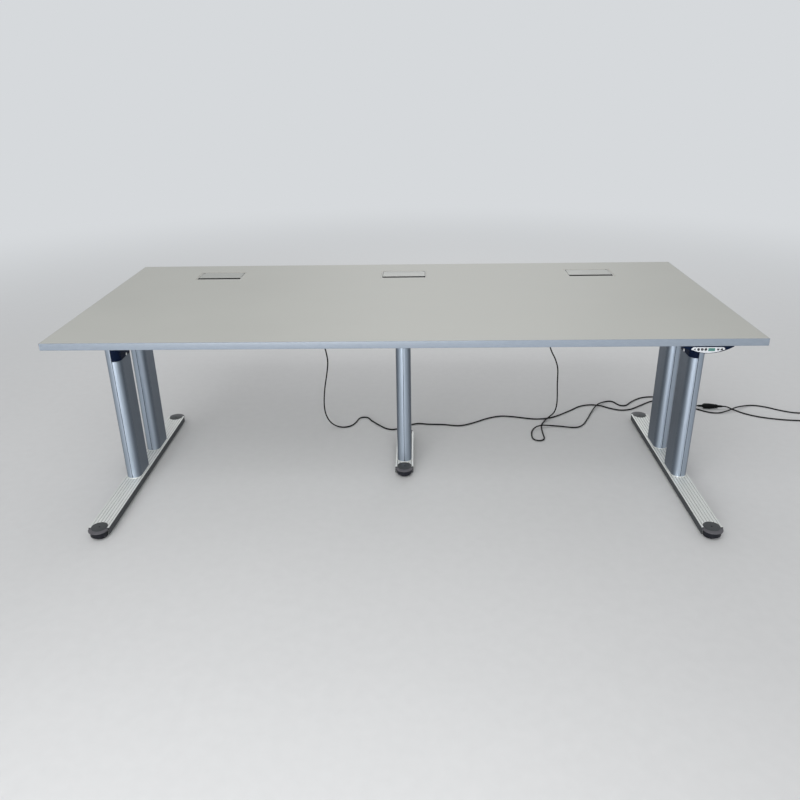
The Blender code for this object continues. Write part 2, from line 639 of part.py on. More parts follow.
def control_box():
    """Control box under the top, its right end at x = 0 with a gland for the mains lead."""
    body = rounded(block((-BOX_LENGTH, -BOX_DEPTH / 2, -BOX_HEIGHT), (0.0, BOX_DEPTH / 2, 0.0)), BOX_EDGE)
    gland = along_x(turned([(GLAND_RADIUS, -GLAND_LENGTH), (GLAND_RADIUS, GLAND_LENGTH / 2),
                            (CORD, GLAND_LENGTH)]))
    return combined(body, moved(gland, Matrix.Translation((0.0, 0.0, -BOX_HEIGHT / 2))), "UNION")


def handset_housing():
    """Half-moon housing, its front face at y = 0 and its top at z = 0, with a pocket for each key."""
    half = HANDSET_WIDTH / 2
    rise = HANDSET_DROP - HANDSET_SIDE
    radius = (half ** 2 + rise ** 2) / (2 * rise)
    sweep = math.asin(half / radius)
    steps = 20
    bow = [sweep - 2 * sweep * i / steps for i in range(steps + 1)]
    outline = [(half, 0.0)]
    outline += [(radius * math.sin(a), radius - HANDSET_DROP - radius * math.cos(a)) for a in bow]
    outline.append((-half, 0.0))
    body = loft([[(x, y, z) for x, z in outline] for y in (0.0, HANDSET_DEPTH)])
    pocket = KEY_SIZE / 2 + KEY_GAP
    depth = KEY_DEPTH - KEY_PROUD + KEY_BACK_GAP
    middle = KEY_Z - FRAME_TOP
    pockets = [block((x - pocket, -depth, middle - pocket), (x + pocket, depth, middle + pocket))
               for x in KEY_PLACES.values()]
    return cut(body, merged(pockets))


def key():
    """Key cap with its origin in the plane of the housing's face; it travels along +Y."""
    half = KEY_SIZE / 2
    cap = block((-half, -KEY_PROUD, -half), (half, KEY_DEPTH - KEY_PROUD, half))
    return rounded(cap, KEY_PROUD / 2, segments=1)


def smooth(route, per_span=12):
    """Points of a smooth curve through the route's own points."""
    knots = [Vector(point) for point in route]
    knots = [2 * knots[0] - knots[1], *knots, 2 * knots[-1] - knots[-2]]
    result = []
    for a, b, c, d in zip(knots, knots[1:], knots[2:], knots[3:]):
        span = (c - b).length
        into = (c - a) * (span / ((c - b).length + (b - a).length))
        out = (d - b) * (span / ((d - c).length + (c - b).length))
        for i in range(per_span):
            t = i / per_span
            result.append(b * (1 + 2 * t) * (1 - t) ** 2 + into * t * (1 - t) ** 2
                          + c * t * t * (3 - 2 * t) - out * t * t * (1 - t))
    result.append(knots[-2])
    return result


def thinned(points):
    """Fewer points of a curve, closer together where it bends, with straight ends."""
    steps = [b - a for a, b in zip(points, points[1:])]
    turns = [0.0] + [a.angle(b, 0.0) for a, b in zip(steps, steps[1:])]
    cost = np.cumsum([0.0] + [step.length + BEND_WEIGHT * turn for step, turn in zip(steps, turns)])
    count = min(CORD_POINTS, int(cost[-1] / CORD_SPACING) + 2)
    marks = np.linspace(0.0, cost[-1], count)
    axes = [np.interp(marks, cost, [point[i] for point in points]) for i in range(3)]
    result = [Vector(point) for point in zip(*axes)]
    result.insert(1, result[0] + steps[0].normalized() * CORD)
    result.insert(-1, result[-1] - steps[-1].normalized() * CORD)
    return result


def cord_length(points):
    """Length along a row of points."""
    return sum((b - a).length for a, b in zip(points, points[1:]))


def add_cord(name, points, desk, resolution):
    """Put a lead into the scene as a round tube with filled ends."""
    curve = bpy.data.curves.new(name, "CURVE")
    curve.dimensions = "3D"
    curve.bevel_depth = CORD / 2
    curve.bevel_resolution = resolution
    curve.use_fill_caps = True
    spline = curve.splines.new("POLY")
    spline.points.add(len(points) - 1)
    for knot, point in zip(spline.points, points):
        knot.co = (*point, 1.0)
    curve.materials.append(finish("black_pvc"))
    piece = bpy.data.objects.new(name, curve)
    bpy.context.scene.collection.objects.link(piece)
    piece.parent = desk
    return piece


def coil_points(entry, outer, turns, turn_side):
    """Coil that starts at entry heading +X, winds in on the floor, climbs and winds out again.

    turn_side is +1 where the coil lies on the +Y side of its entry, -1 on the other side.
    """
    middle = Vector((entry[0], entry[1] + turn_side * outer, 0.0))
    total = turns * LOOP_POINTS
    half = total / 2
    points = [Vector((entry[0] - CORD, entry[1], FLOOR))]
    for i in range(total + 1):
        angle = turn_side * (2 * math.pi * i / LOOP_POINTS - math.pi / 2)
        inward = min(i, total - i) / LOOP_POINTS
        radius = outer - TURN_PITCH * inward
        climb = min(max((i - half) / (LOOP_POINTS / 2) + 0.5, 0.0), 1.0)
        ease = climb * climb * (3 - 2 * climb)
        place = Vector((math.cos(angle), math.sin(angle), 0.0)) * radius
        points.append(middle + place + Vector((0.0, 0.0, FLOOR + TURN_PITCH * ease)))
    last = points[-1]
    for share in (0.35, 0.7, 1.0):
        rise = min(share / 0.7, 1.0)
        height = last.z + (PLUG_RADIUS + GAP - last.z) * rise * rise * (3 - 2 * rise)
        points.append(Vector((last.x + TAIL * share, last.y, height)))
    return points


def least_gap(points):
    """Smallest clear space between turns of a coil."""
    places = np.array(points)
    apart = np.linalg.norm(places[:, None] - places[None, :], axis=2)
    index = np.arange(len(places))
    far = np.abs(index[:, None] - index[None, :]) >= LOOP_POINTS // 4
    return apart[far].min() - CORD


def plug():
    """Mains plug lying along +X, the lead's end at the origin."""
    start = GAP
    front = start + RELIEF_LENGTH + PLUG_BODY
    profile = [(RELIEF_RADIUS * 0.8, start), (RELIEF_RADIUS, start + RELIEF_LENGTH),
               (PLUG_RADIUS * 0.72, start + RELIEF_LENGTH + 0.004),
               (PLUG_RADIUS, start + RELIEF_LENGTH + 0.012), (PLUG_RADIUS, front)]
    body = along_x(turned(profile))
    for side in (-1, 1):
        pin = along_x(turned([(PLUG_PIN_RADIUS, front - PLUG_BODY / 4),
                              (PLUG_PIN_RADIUS, front + PLUG_PIN_LENGTH)], steps=12))
        moved(pin, Matrix.Translation((0.0, side * PLUG_PIN_PITCH / 2, 0.0)))
        body = combined(body, pin, "UNION")
    return body


def coupler():
    """In-line coupler along +X from the origin: two tapered reliefs and a chamfered body."""
    stations = [(0.0, 0.36), (0.16, 0.46), (0.22, 0.86), (0.26, 1.0), (0.74, 1.0), (0.78, 0.86),
                (0.84, 0.46), (1.0, 0.36)]
    width = COUPLER_WIDTH / 2
    height = COUPLER_HEIGHT / 2
    corner = 0.6
    shape = [(1, -corner), (1, corner), (corner, 1), (-corner, 1),
             (-1, corner), (-1, -corner), (-corner, -1), (corner, -1)]
    rings = [[(a * width * size, b * height * size, share * COUPLER_LENGTH) for a, b in shape]
             for share, size in stations]
    return along_x(loft(rings))


def build_base(desk, legs):
    """Feet, end caps, glides and lower columns."""
    for leg, (x, front, rear, columns) in legs.items():
        add_piece(f"foot_{leg}", foot_bar(front, rear), desk, (x, 0.0, 0.0), "ribbed_aluminium")
        for end, y, turn in (("front", front, 0.0), ("rear", rear, math.pi)):
            add_piece(f"foot_cap_{leg}_{end}", foot_cap(), desk, (x, y, 0.0), "dark_grey_plastic", turn)
            add_piece(f"glide_{leg}_{end}", glide(), desk, (x, y, 0.0), "black_plastic")
        inner_side = -1 if x > 0 else 1
        for name, (y, _) in columns.items():
            add_piece(f"lower_column_{name}", lower_column(inner_side), desk, (x, y, 0.0), "anodised_aluminium")


def build_drives(desk, legs):
    """Inner tubes, motor housings and spindles."""
    spigot_end = RIM_HEIGHT + GAP - SPIGOT_LENGTH
    for leg, (x, _, _, columns) in legs.items():
        inner_side = -1 if x > 0 else 1
        for name, (y, driven) in columns.items():
            top = RIM_HEIGHT if driven else FRAME_BOTTOM - GAP
            add_piece(f"inner_tube_{name}", inner_tube(top), desk, (x, y, 0.0), "bright_steel")
            if driven:
                place = (x, y, 0.0)
                add_piece(f"motor_housing_{leg}", motor_housing(inner_side), desk, place, "black_plastic")
                add_piece(f"spindle_{leg}", spindle(spigot_end - GAP), desk, place, "bright_steel")


def build_top(desk, legs, flaps):
    """Desk top, cable flaps, arms and beams."""
    add_piece("desk_top", desk_top(flaps.values()), desk, (0.0, 0.0, 0.0), "light_grey_laminate")
    hinge_y, hinge_z = hinge_place()
    for name, (x, y) in flaps.items():
        add_piece(f"flap_frame_{name}", flap_frame(), desk, (x, y, TOP_HEIGHT), "flap_grey")
        place = (x, y + hinge_y, TOP_HEIGHT + hinge_z)
        add_piece(f"flap_lid_{name}", flap_lid(), desk, place, "flap_grey")
    frame_z = FRAME_TOP - ARM_HEIGHT / 2
    arm_end = TOP_DEPTH / 2 - ARM_INSET
    for leg, (x, *_) in legs.items():
        front, rear = -arm_end, arm_end
        if leg == "centre":
            front, rear = CENTRE_ARM_FRONT, FLAP_Y - FLAP_DEPTH / 2 - CENTRE_ARM_GAP
        arm = along_y(steel_bar(ARM_WIDTH, ARM_HEIGHT, rear - front))
        add_piece(f"arm_{leg}", arm, desk, (x, (front + rear) / 2, frame_z), "silver_paint")
    span = LEG_X - ARM_WIDTH - 2 * GAP
    for name, side in (("left", -1), ("right", 1)):
        beam = along_x(steel_bar(BEAM_WIDTH, ARM_HEIGHT, span))
        add_piece(f"beam_{name}", beam, desk, (side * LEG_X / 2, 0.0, frame_z), "silver_paint")


def build_controls(desk):
    """Control boxes, handset and keys."""
    for name, (x, y) in (("left", LEFT_BOX_END), ("right", RIGHT_BOX_END)):
        add_piece(f"control_box_{name}", control_box(), desk, (x, y, FRAME_TOP), "black_plastic")
    face = -TOP_DEPTH / 2 + HANDSET_FRONT_INSET
    add_piece("handset_housing", handset_housing(), desk, (HANDSET_X, face, FRAME_TOP), "black_plastic")
    for name, x in KEY_PLACES.items():
        add_piece(name, key(), desk, (HANDSET_X + x, face, KEY_Z), "key_grey")


def build_leads(desk):
    """Both mains leads, the coupler and the extension with their coils and plugs."""
    coupler_z = COUPLER_HEIGHT / 2 + GAP
    start = Vector((*COUPLER_START, coupler_z))
    ahead = Vector((math.sqrt(COUPLER_LENGTH ** 2 - (COUPLER_END_Y - start.y) ** 2),
                    COUPLER_END_Y - start.y, 0.0)).normalized()
    turn = math.atan2(ahead.y, ahead.x)
    add_piece("coupler", coupler(), desk, start, "black_pvc", turn)
    gland_out = Vector((GLAND_LENGTH + GAP, 0.0, CORD_EXIT_Z))
    left_start = Vector((*LEFT_BOX_END, 0.0)) + gland_out
    right_start = Vector((*RIGHT_BOX_END, 0.0)) + gland_out
    runs = {
        "lead_left": [left_start, *LEFT_ROUTE, (LEFT_COIL_ENTRY[0] - CORD - GAP, LEFT_COIL_ENTRY[1], FLOOR)],
        "lead_right": [right_start, *RIGHT_ROUTE, start - ahead * GAP],
        "lead_extension": [start + ahead * (COUPLER_LENGTH + GAP), *EXTENSION_ROUTE,
                           (EXTENSION_COIL_ENTRY[0] - CORD - GAP, EXTENSION_COIL_ENTRY[1], FLOOR)],
    }
    for name, route in runs.items():
        points = smooth(route)
        print(f"{name}: {cord_length(points):.3f} m")
        add_cord(name, thinned(points), desk, 2)
    coils = {
        "left": coil_points(LEFT_COIL_ENTRY, LEFT_COIL_RADIUS, LEFT_COIL_TURNS, 1),
        "extension": coil_points(EXTENSION_COIL_ENTRY, EXTENSION_COIL_RADIUS, EXTENSION_COIL_TURNS, -1),
    }
    for name, points in coils.items():
        print(f"coil_{name}: {cord_length(points):.3f} m, least gap {least_gap(points) * 1000:.2f} mm")
        add_cord(f"coil_{name}", points, desk, 1)
        add_piece(f"plug_{name}", plug(), desk, points[-1], "black_pvc")


def main():
    """Build the desk."""
    clear_scene()
    desk = bpy.data.objects.new("desk", None)
    bpy.context.scene.collection.objects.link(desk)
    desk.location = (0.0, DESK_SHIFT, 0.0)
    side_columns = ((FRONT_COLUMN_Y, True), (REAR_COLUMN_Y, False))
    legs = {
        leg: (x, SIDE_FOOT_FRONT, SIDE_FOOT_REAR,
              {f"{leg}_{end}": column for end, column in zip(("front", "rear"), side_columns)})
        for leg, x in (("left", -LEG_X), ("right", LEG_X))
    }
    legs["centre"] = (0.0, CENTRE_FOOT_FRONT, CENTRE_FOOT_REAR, {"centre": (CENTRE_COLUMN_Y, True)})
    flaps = {name: ((i - (len(PLACES) - 1) / 2) * PLACE_PITCH, FLAP_Y) for i, name in enumerate(PLACES)}
    build_base(desk, legs)
    build_drives(desk, legs)
    build_top(desk, legs, flaps)
    build_controls(desk)
    build_leads(desk)
    bpy.context.view_layer.update()


main()
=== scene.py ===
"""Looks of a sit-stand desk for three places: smooth meshes, finishes, studio and camera.

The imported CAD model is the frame. Sizes are metres in its axes: +Z is up, +X runs along the
desk, the front faces -Y and the origin is on the floor in the middle of the desk.
"""

from __future__ import annotations

import logging
import sys
from dataclasses import dataclass
from enum import Enum, StrEnum
from math import asin, atan2, cos, hypot, pi, radians, sin, sqrt
from typing import Any, Callable, Iterable, Sequence

import bmesh
import bpy
import numpy as np
from mathutils import Matrix, Vector

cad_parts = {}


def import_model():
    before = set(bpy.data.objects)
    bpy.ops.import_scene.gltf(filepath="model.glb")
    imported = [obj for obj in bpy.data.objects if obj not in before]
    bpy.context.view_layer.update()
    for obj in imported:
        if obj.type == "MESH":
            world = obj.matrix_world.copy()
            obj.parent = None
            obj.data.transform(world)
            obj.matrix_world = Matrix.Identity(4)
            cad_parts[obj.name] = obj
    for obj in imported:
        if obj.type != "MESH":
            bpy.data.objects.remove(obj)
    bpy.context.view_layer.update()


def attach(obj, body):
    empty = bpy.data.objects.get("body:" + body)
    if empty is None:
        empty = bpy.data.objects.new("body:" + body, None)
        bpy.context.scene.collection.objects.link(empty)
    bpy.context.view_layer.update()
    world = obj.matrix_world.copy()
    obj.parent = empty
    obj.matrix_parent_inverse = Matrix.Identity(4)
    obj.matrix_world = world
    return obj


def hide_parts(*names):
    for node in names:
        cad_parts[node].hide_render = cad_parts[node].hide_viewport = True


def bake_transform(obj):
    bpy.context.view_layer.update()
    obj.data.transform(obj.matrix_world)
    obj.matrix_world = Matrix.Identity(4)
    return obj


LOG = logging.getLogger("desk")

Point = Sequence[float]
Pair = tuple[float, float]
Triple = tuple[float, float, float]
Plan = list[Pair]
Mesh = bpy.types.Mesh
Tree = bpy.types.NodeTree
Node = bpy.types.Node
Piece = bpy.types.Object
Face = bpy.types.MeshPolygon

GAP = 0.0003            # between pieces that touch
DESK_SHIFT = 0.03715    # middle of the top behind the middle of the whole desk
SHIFT = Vector((0.0, DESK_SHIFT, 0.0))
TOP_Z = 0.736           # upper face of the top
UNDER_Z = 0.711         # underside of the top
FRAME_TOP = UNDER_Z - GAP
FRAME_BOTTOM = FRAME_TOP - 0.030
FOOT_BOTTOM = 0.012
FOOT_TOP = 0.040
RIM_Z = 0.547           # inner half of a lower column
OUTER_RIM_Z = 0.660     # outer half of a lower column
LEG_X = 1.107
FLAP_X = {"left": -0.8, "centre": 0.0, "right": 0.8}
FLAP_Y = 0.38415
FLAP_SIZE = (0.198, 0.126)
SMOOTH_ANGLE = radians(32)
# The column finish paints the flats darker from flat_share as painted shade; the lip by each edge groove
# holds a painted highlight.
FLAT_SHARE = "flat_share"   # how far a column's surface is turned to its side
MIRROR = Matrix.Scale(-1, 4, (1, 0, 0))
DOWN = (0.0, 0.0, -1.0)
UPRIGHT = 0.5           # a face whose normal rises or falls less than this is upright
MOTTLE = (0.36, 0.64)   # values of the noise at a finish's shade and at its full colour
GLOSS = (0.35, 0.65)    # values of the noise between which the gloss changes
GLOSS_SHARE = 0.1       # change of the gloss either way


class Body(StrEnum):
    """Bodies of the frame whose names hold no place."""

    BASE = "base"
    LIFT = "lift"


class Slot(StrEnum):
    """Material slots of the record."""

    LAMINATE = "grey_laminate"
    FLAP = "flap_grey"
    ANODISED = "anodised_aluminium"
    RIBBED = "ribbed_aluminium"
    DARK_PLASTIC = "dark_grey_plastic"
    BLACK_PLASTIC = "black_plastic"
    PAINT = "silver_paint"
    STEEL = "bright_steel"
    KEY = "key_grey"
    PVC = "black_pvc"


def linear(code: str) -> tuple[float, float, float, float]:
    """Turn an sRGB hex colour into linear RGBA.

    Args:
        code: colour such as "#B8B9B4".

    Returns:
        Red, green and blue, with an alpha of 1.
    """
    parts = [int(code[i:i + 2], 16) / 255 for i in (1, 3, 5)]
    red, green, blue = (c / 12.92 if c <= 0.04045 else ((c + 0.055) / 1.055) ** 2.4 for c in parts)
    return red, green, blue, 1.0


def add_node(tree: Tree, kind: str, settings: dict[str, Any] | None = None,
             inputs: dict[str | int, Any] | None = None) -> Node:
    """Add one node to a tree, with its settings and links.

    Args:
        tree: shader or geometry node tree.
        kind: Blender's name for the type of node.
        settings: values of the node's own properties; "stops" gives a ramp its colours.
        inputs: values of its input sockets; a node or an output socket given here is linked.

    Returns:
        The new node.
    """
    node = tree.nodes.new(kind)
    for name, value in (settings or {}).items():
        if name == "stops":
            marks = node.color_ramp.elements
            while len(marks) < len(value):
                marks.new(1.0)
            for mark, (position, code) in zip(marks, value):
                mark.position = position
                mark.color = linear(code)
        else:
            setattr(node, name, value)
    for key, value in (inputs or {}).items():
        if isinstance(value, bpy.types.Node):
            tree.links.new(value.outputs[0], node.inputs[key])
        elif isinstance(value, bpy.types.NodeSocket):
            tree.links.new(value, node.inputs[key])
        else:
            node.inputs[key].default_value = value
    return node


@dataclass(frozen=True)
class Finish:
    """A surface with a fine grain and a faint cloudiness.

    Lengths are metres: grain is the width of the finest pattern, relief the height of its
    bumps, cloud the width of the broad mottle. stretch draws the pattern out along an axis.
    """

    name: str
    colour: str
    shade: str
    roughness: float
    slot: Slot
    metallic: float = 0.0
    ior: float = 1.5
    specular: float = 0.5
    grain: float = 0.001
    relief: float = 0.00004
    cloud: float = 0.12
    stretch: Triple = (1.0, 1.0, 1.0)

    def material(self) -> bpy.types.Material:
        """Make the finish's material on its first use.

        Returns:
            The material.
        """
        made = bpy.data.materials.get(self.name)
        if made is None:
            made = bpy.data.materials.new(self.name)
            made.use_nodes = True
            made.diffuse_color = linear(self.colour)
            shader = made.node_tree.nodes["Principled BSDF"]
            values = {"Base Color": linear(self.colour), "Metallic": self.metallic, "IOR": self.ior,
                      "Specular IOR Level": self.specular}
            for socket, value in values.items():
                shader.inputs[socket].default_value = value
            self.dress(made.node_tree, shader)
        return made

    def drawn(self, tree: Tree) -> Node:
        """Return the object's own coordinates, drawn out along the pattern."""
        coords = add_node(tree, "ShaderNodeTexCoord")
        return add_node(tree, "ShaderNodeMapping", inputs={
            "Vector": coords.outputs["Object"], "Scale": [1 / s for s in self.stretch]})

    def dress(self, tree: Tree, shader: Node) -> None:
        """Give the shader its mottled colour, its uneven gloss and its grain.

        Args:
            tree: the material's nodes.
            shader: its Principled node.
        """
        drawn = self.drawn(tree)
        fine, broad = (add_node(tree, "ShaderNodeTexNoise", inputs={
            "Vector": drawn, "Scale": 0.5 / width, "Detail": 3.0}) for width in (self.grain, self.cloud))
        total = add_node(tree, "ShaderNodeMath", {"operation": "ADD"}, {0: fine, 1: broad})
        mottle = add_node(tree, "ShaderNodeMath", {"operation": "MULTIPLY"}, {0: total, 1: 0.5})
        colour = add_node(tree, "ShaderNodeValToRGB",
                          {"stops": tuple(zip(MOTTLE, (self.shade, self.colour)))}, {"Fac": mottle})
        gloss = add_node(tree, "ShaderNodeMapRange", inputs={
            "Value": mottle, "From Min": GLOSS[0], "From Max": GLOSS[1],
            "To Min": self.roughness * (1 - GLOSS_SHARE), "To Max": self.roughness * (1 + GLOSS_SHARE)})
        bump = add_node(tree, "ShaderNodeBump", inputs={
            "Height": fine, "Distance": self.relief, "Strength": 1.0})
        for socket, source in (("Base Color", colour), ("Roughness", gloss), ("Normal", bump)):
            tree.links.new(source.outputs[0], shader.inputs[socket])


@dataclass(frozen=True)
class Chipboard(Finish):
    """Sawn chipboard: flat wood chips of several browns, end on and side on."""

    chips: tuple[str, ...] = ("#8A6A45", "#A98456", "#C2A173", "#7A5B3A")

    def dress(self, tree: Tree, shader: Node) -> None:
        """Give the shader its chips.

        Args:
            tree: the material's nodes.
            shader: its Principled node.
        """
        cells = add_node(tree, "ShaderNodeTexVoronoi", inputs={
            "Vector": self.drawn(tree), "Scale": 1 / self.grain})
        shade = add_node(tree, "ShaderNodeSeparateColor", inputs={"Color": cells.outputs["Color"]})
        stops = [(i / len(self.chips), code) for i, code in enumerate(self.chips)]
        colour = add_node(tree, "ShaderNodeValToRGB", {"stops": stops}, {"Fac": shade})
        bump = add_node(tree, "ShaderNodeBump", inputs={
            "Height": cells.outputs["Distance"], "Distance": self.relief, "Strength": 1.0})
        shader.inputs["Roughness"].default_value = self.roughness
        for socket, source in (("Base Color", colour), ("Normal", bump)):
            tree.links.new(source.outputs[0], shader.inputs[socket])


@dataclass(frozen=True)
class PaintedShadeColumnMetal(Finish):
    """Drawn metal with painted shade: its flats are painted darker than its noses, by the mesh's own
    flat_share.
    """

    # colour of the painted shade on the flats
    flat: str = "#6D7681"
    bend: Pair = (0.46, 0.99)    # flat_share over which the tone changes

    def dress(self, tree: Tree, shader: Node) -> None:
        """Give the shader its grain, then the painted shade of the flats.

        Args:
            tree: the material's nodes.
            shader: its Principled node.
        """
        super().dress(tree, shader)
        nose = shader.inputs["Base Color"].links[0].from_socket
        share = add_node(tree, "ShaderNodeAttribute", {"attribute_name": FLAT_SHARE})
        spread = add_node(tree, "ShaderNodeMapRange", {"interpolation_type": "SMOOTHSTEP"}, {
            "Value": share.outputs["Fac"], "From Min": self.bend[0], "From Max": self.bend[1]})
        tone = add_node(tree, "ShaderNodeMix", {"data_type": "RGBA"}, {
            0: spread, 6: nose, 7: linear(self.flat)})
        tree.links.new(tone.outputs[2], shader.inputs["Base Color"])


# Melamine laminate with a pearl emboss: matt light grey, even, with a soft broad sheen.
# The pearl is 0.4 mm wide; it is drawn 1.4 mm wide, as coarse as it needs to show.
LAMINATE = Finish("melamine_laminate", "#BABBB6", "#B3B4AF", 0.55, Slot.LAMINATE, specular=0.25,
                  grain=0.0014, cloud=0.25)
# Edge band: extruded ABS, a cooler grey than the laminate and glossier along its length.
EDGE_BAND = Finish("abs_edge_band", "#848E9A", "#7C8692", 0.36, Slot.LAMINATE, ior=1.53, grain=0.0012,
                   relief=0.00002, stretch=(6.0, 6.0, 1.0))
# Cut edge of the board inside the openings: raw chipboard, chips about 3 mm long.
RAW_BOARD = Chipboard("sawn_chipboard", "#A98456", "#8A6A45", 0.85, Slot.LAMINATE, grain=0.0022,
                      relief=0.0003, stretch=(2.0, 2.0, 0.6))
# Cable flaps: moulded ABS in the colour of the top, with a fine spark-eroded grain.
FLAP_ABS = Finish("moulded_grey_abs", "#B4B5B0", "#ABACA7", 0.46, Slot.FLAP, ior=1.53, relief=0.00003)
# Lids of the flaps: the same ABS, a shade darker.
LID_ABS = Finish("darker_grey_abs", "#A7A9A5", "#9FA19D", 0.44, Slot.FLAP, ior=1.53, relief=0.00003)
# Inside of the cable openings: dull black ABS, painted shade of the deep shafts; the hinge knuckles and the
# lids' front edges take it too.
SHAFT_SHADE_ABS = Finish("shaft_painted_shade_black_abs", "#08090A", "#050506", 0.70, Slot.FLAP, ior=1.53, specular=0.1,
                   grain=0.0012, relief=0.00005)
# Columns: natural anodised aluminium, satin, with faint die lines up their length; the flats carry painted
# shade and the lip by each edge groove a painted highlight.
# Die lines are 0.1 mm wide; they are drawn 0.9 mm wide, as coarse as they need to show.
ANODISED = PaintedShadeColumnMetal("anodised_extrusion", "#B3BECB", "#A4B0BE", 0.46, Slot.ANODISED, metallic=1.0,
                       grain=0.0009, relief=0.000012, cloud=0.010, stretch=(1.0, 1.0, 120.0))
# Grooves of the columns: the same metal, painted darker as shade in the grooves.
COLUMN_GROOVE_SHADE = Finish("anodised_groove", "#4C545E", "#40484F", 0.60, Slot.ANODISED, metallic=0.6,
                grain=0.0009, relief=0.000012, cloud=0.010, stretch=(1.0, 1.0, 120.0))
# Foot rails: the same extrusion drawn along the foot, etched duller and paler.
RAIL = Finish("etched_anodised_rail", "#E3E5E3", "#D9DCDA", 0.48, Slot.RIBBED, metallic=0.4,
              grain=0.0009, relief=0.000012, cloud=0.012, stretch=(1.0, 120.0, 1.0))
# Sides of the rails: the same metal, painted dark as shade.
RAIL_SIDE_SHADE = Finish("rail_side_painted_shade", "#3E4144", "#323537", 0.55, Slot.RIBBED, metallic=0.2,
                   grain=0.0009, relief=0.000012, cloud=0.03, stretch=(1.0, 60.0, 1.0))
# Floors of the rail's grooves: the same metal, painted darker as shade in the grooves.
RAIL_GROOVE_SHADE = Finish("rail_groove_painted_shade", "#9C9E9C", "#8E908E", 0.60, Slot.RIBBED, metallic=0.2,
                     grain=0.0009, relief=0.000012, cloud=0.02, stretch=(1.0, 40.0, 1.0))
# Inner tubes: ground and chromed steel, with fine lengthwise grinding marks.
CHROMED = Finish("ground_chromed_steel", "#A2A6AA", "#93979B", 0.30, Slot.STEEL, metallic=1.0,
                 grain=0.0006, relief=0.000006, cloud=0.02, stretch=(1.0, 1.0, 60.0))
# Spindles: rolled steel, oiled, mottled a little darker in places.
SPINDLE_STEEL = Finish("rolled_steel", "#8E9296", "#6F7376", 0.28, Slot.STEEL, metallic=1.0,
                       grain=0.0008, relief=0.00001)
# Drive heads: moulded black polyamide, navy in daylight, with a satin grain.
DRIVE_PA = Finish("moulded_black_polyamide", "#111D36", "#0C1629", 0.45, Slot.BLACK_PLASTIC, ior=1.53,
                  specular=0.04, grain=0.0009, relief=0.00005)
# Toe caps: moulded dark grey polyamide, dull, scuffed lighter in patches.
TOE_PA = Finish("moulded_grey_polyamide", "#3D4042", "#333638", 0.52, Slot.DARK_PLASTIC, ior=1.53,
                specular=0.4, grain=0.0009, relief=0.00006, cloud=0.02)
# Lips of the toe caps: the same polyamide, paler.
LIP_PA = Finish("paler_grey_polyamide", "#57565B", "#4A494E", 0.46, Slot.DARK_PLASTIC, ior=1.53,
                specular=0.4, grain=0.0009, relief=0.00006, cloud=0.015)
# Glides: black polyethylene, waxy.
GLIDE_PE = Finish("turned_black_polyethylene", "#10121C", "#0B0D15", 0.45, Slot.BLACK_PLASTIC, ior=1.51,
                  specular=0.3, relief=0.00003)
# Arms and beams: silver powder coat on steel, with an orange-peel skin about 2 mm across.
POWDER = Finish("silver_powder_coat", "#A7ABAE", "#9DA1A4", 0.42, Slot.PAINT, metallic=0.35,
                grain=0.0020, relief=0.00006)
# Screws: zinc-plated steel, bright with a blue cast.
ZINC = Finish("zinc_plated_steel", "#D3D6DA", "#BFC3C8", 0.30, Slot.STEEL, metallic=1.0, grain=0.0006,
              relief=0.00001)
# Screws of the drive heads: white zinc, paler and duller.
WHITE_ZINC = Finish("white_zinc_steel", "#F0F2F4", "#E2E5E8", 0.45, Slot.STEEL, metallic=0.2,
                    grain=0.0006, relief=0.00001)
# Column screws: blackened steel, sunk in the groove.
BLACKED = Finish("blackened_steel", "#26272B", "#1C1D20", 0.40, Slot.STEEL, metallic=0.6, grain=0.0006,
                 relief=0.00001)
# Handset and control boxes: moulded black ABS with a fine grain.
CASE_ABS = Finish("moulded_case_abs", "#101C33", "#0C1527", 0.50, Slot.BLACK_PLASTIC, ior=1.53,
                  specular=0.02, grain=0.0008)
# Faceplate: polyester foil printed silver-white behind a matt hard coat.
FOIL = Finish("printed_polyester_foil", "#CDD1D6", "#C6CACF", 0.40, Slot.KEY, ior=1.60, grain=0.0012,
              relief=0.00001)
# Keys: the same foil, domed over the switches.
KEY_FOIL = Finish("domed_polyester_foil", "#C8CCD1", "#BFC3C8", 0.38, Slot.KEY, ior=1.60, relief=0.00001)
# Key marks: black screen ink.
INK = Finish("black_screen_ink", "#0B0C0F", "#08090B", 0.48, Slot.KEY, specular=0.2, grain=0.0006,
             relief=0.000005)
# Display: liquid crystal behind clear acrylic, teal while idle.
CRYSTAL = Finish("liquid_crystal_display", "#4E827B", "#46766F", 0.12, Slot.KEY, ior=1.49, grain=0.0008,
                 relief=0.0, cloud=0.01)
# Display digits: the same cell where the crystal is dark.
CRYSTAL_DARK = Finish("dark_liquid_crystal", "#345C57", "#2D524D", 0.12, Slot.KEY, ior=1.49,
                      grain=0.0008, relief=0.0, cloud=0.01)
# Sheath of a mains lead: extruded PVC, black with a dull sheen and faint drawing marks.
PVC = Finish("extruded_black_pvc", "#070708", "#050506", 0.50, Slot.PVC, ior=1.53, specular=0.1,
             grain=0.0016, relief=0.00003)
# Plugs and couplers: moulded PVC, black with a fine spark-eroded grain.
MOULDED_PVC = Finish("moulded_black_pvc", "#0A0B0C", "#070808", 0.55, Slot.PVC, ior=1.53, specular=0.1,
                     grain=0.0008)
# Plug pins: nickel-plated brass, bright with faint turning marks.
NICKEL = Finish("nickel_plated_brass", "#C9C4B8", "#B5B0A5", 0.24, Slot.PVC, metallic=1.0, grain=0.0006,
                relief=0.000006)
# Ties: thin embossed polythene strap.
STRAP = Finish("polythene_strap", "#2A2B2D", "#1D1E20", 0.50, Slot.PVC, ior=1.51, grain=0.0012,
               relief=0.00003)
# Studio floor: matt painted board, pale and even.
STAGE = Finish("matt_studio_floor", "#D6D7D8", "#D2D3D4", 0.85, Slot.LAMINATE, grain=0.02, relief=0.0,
               cloud=0.8)


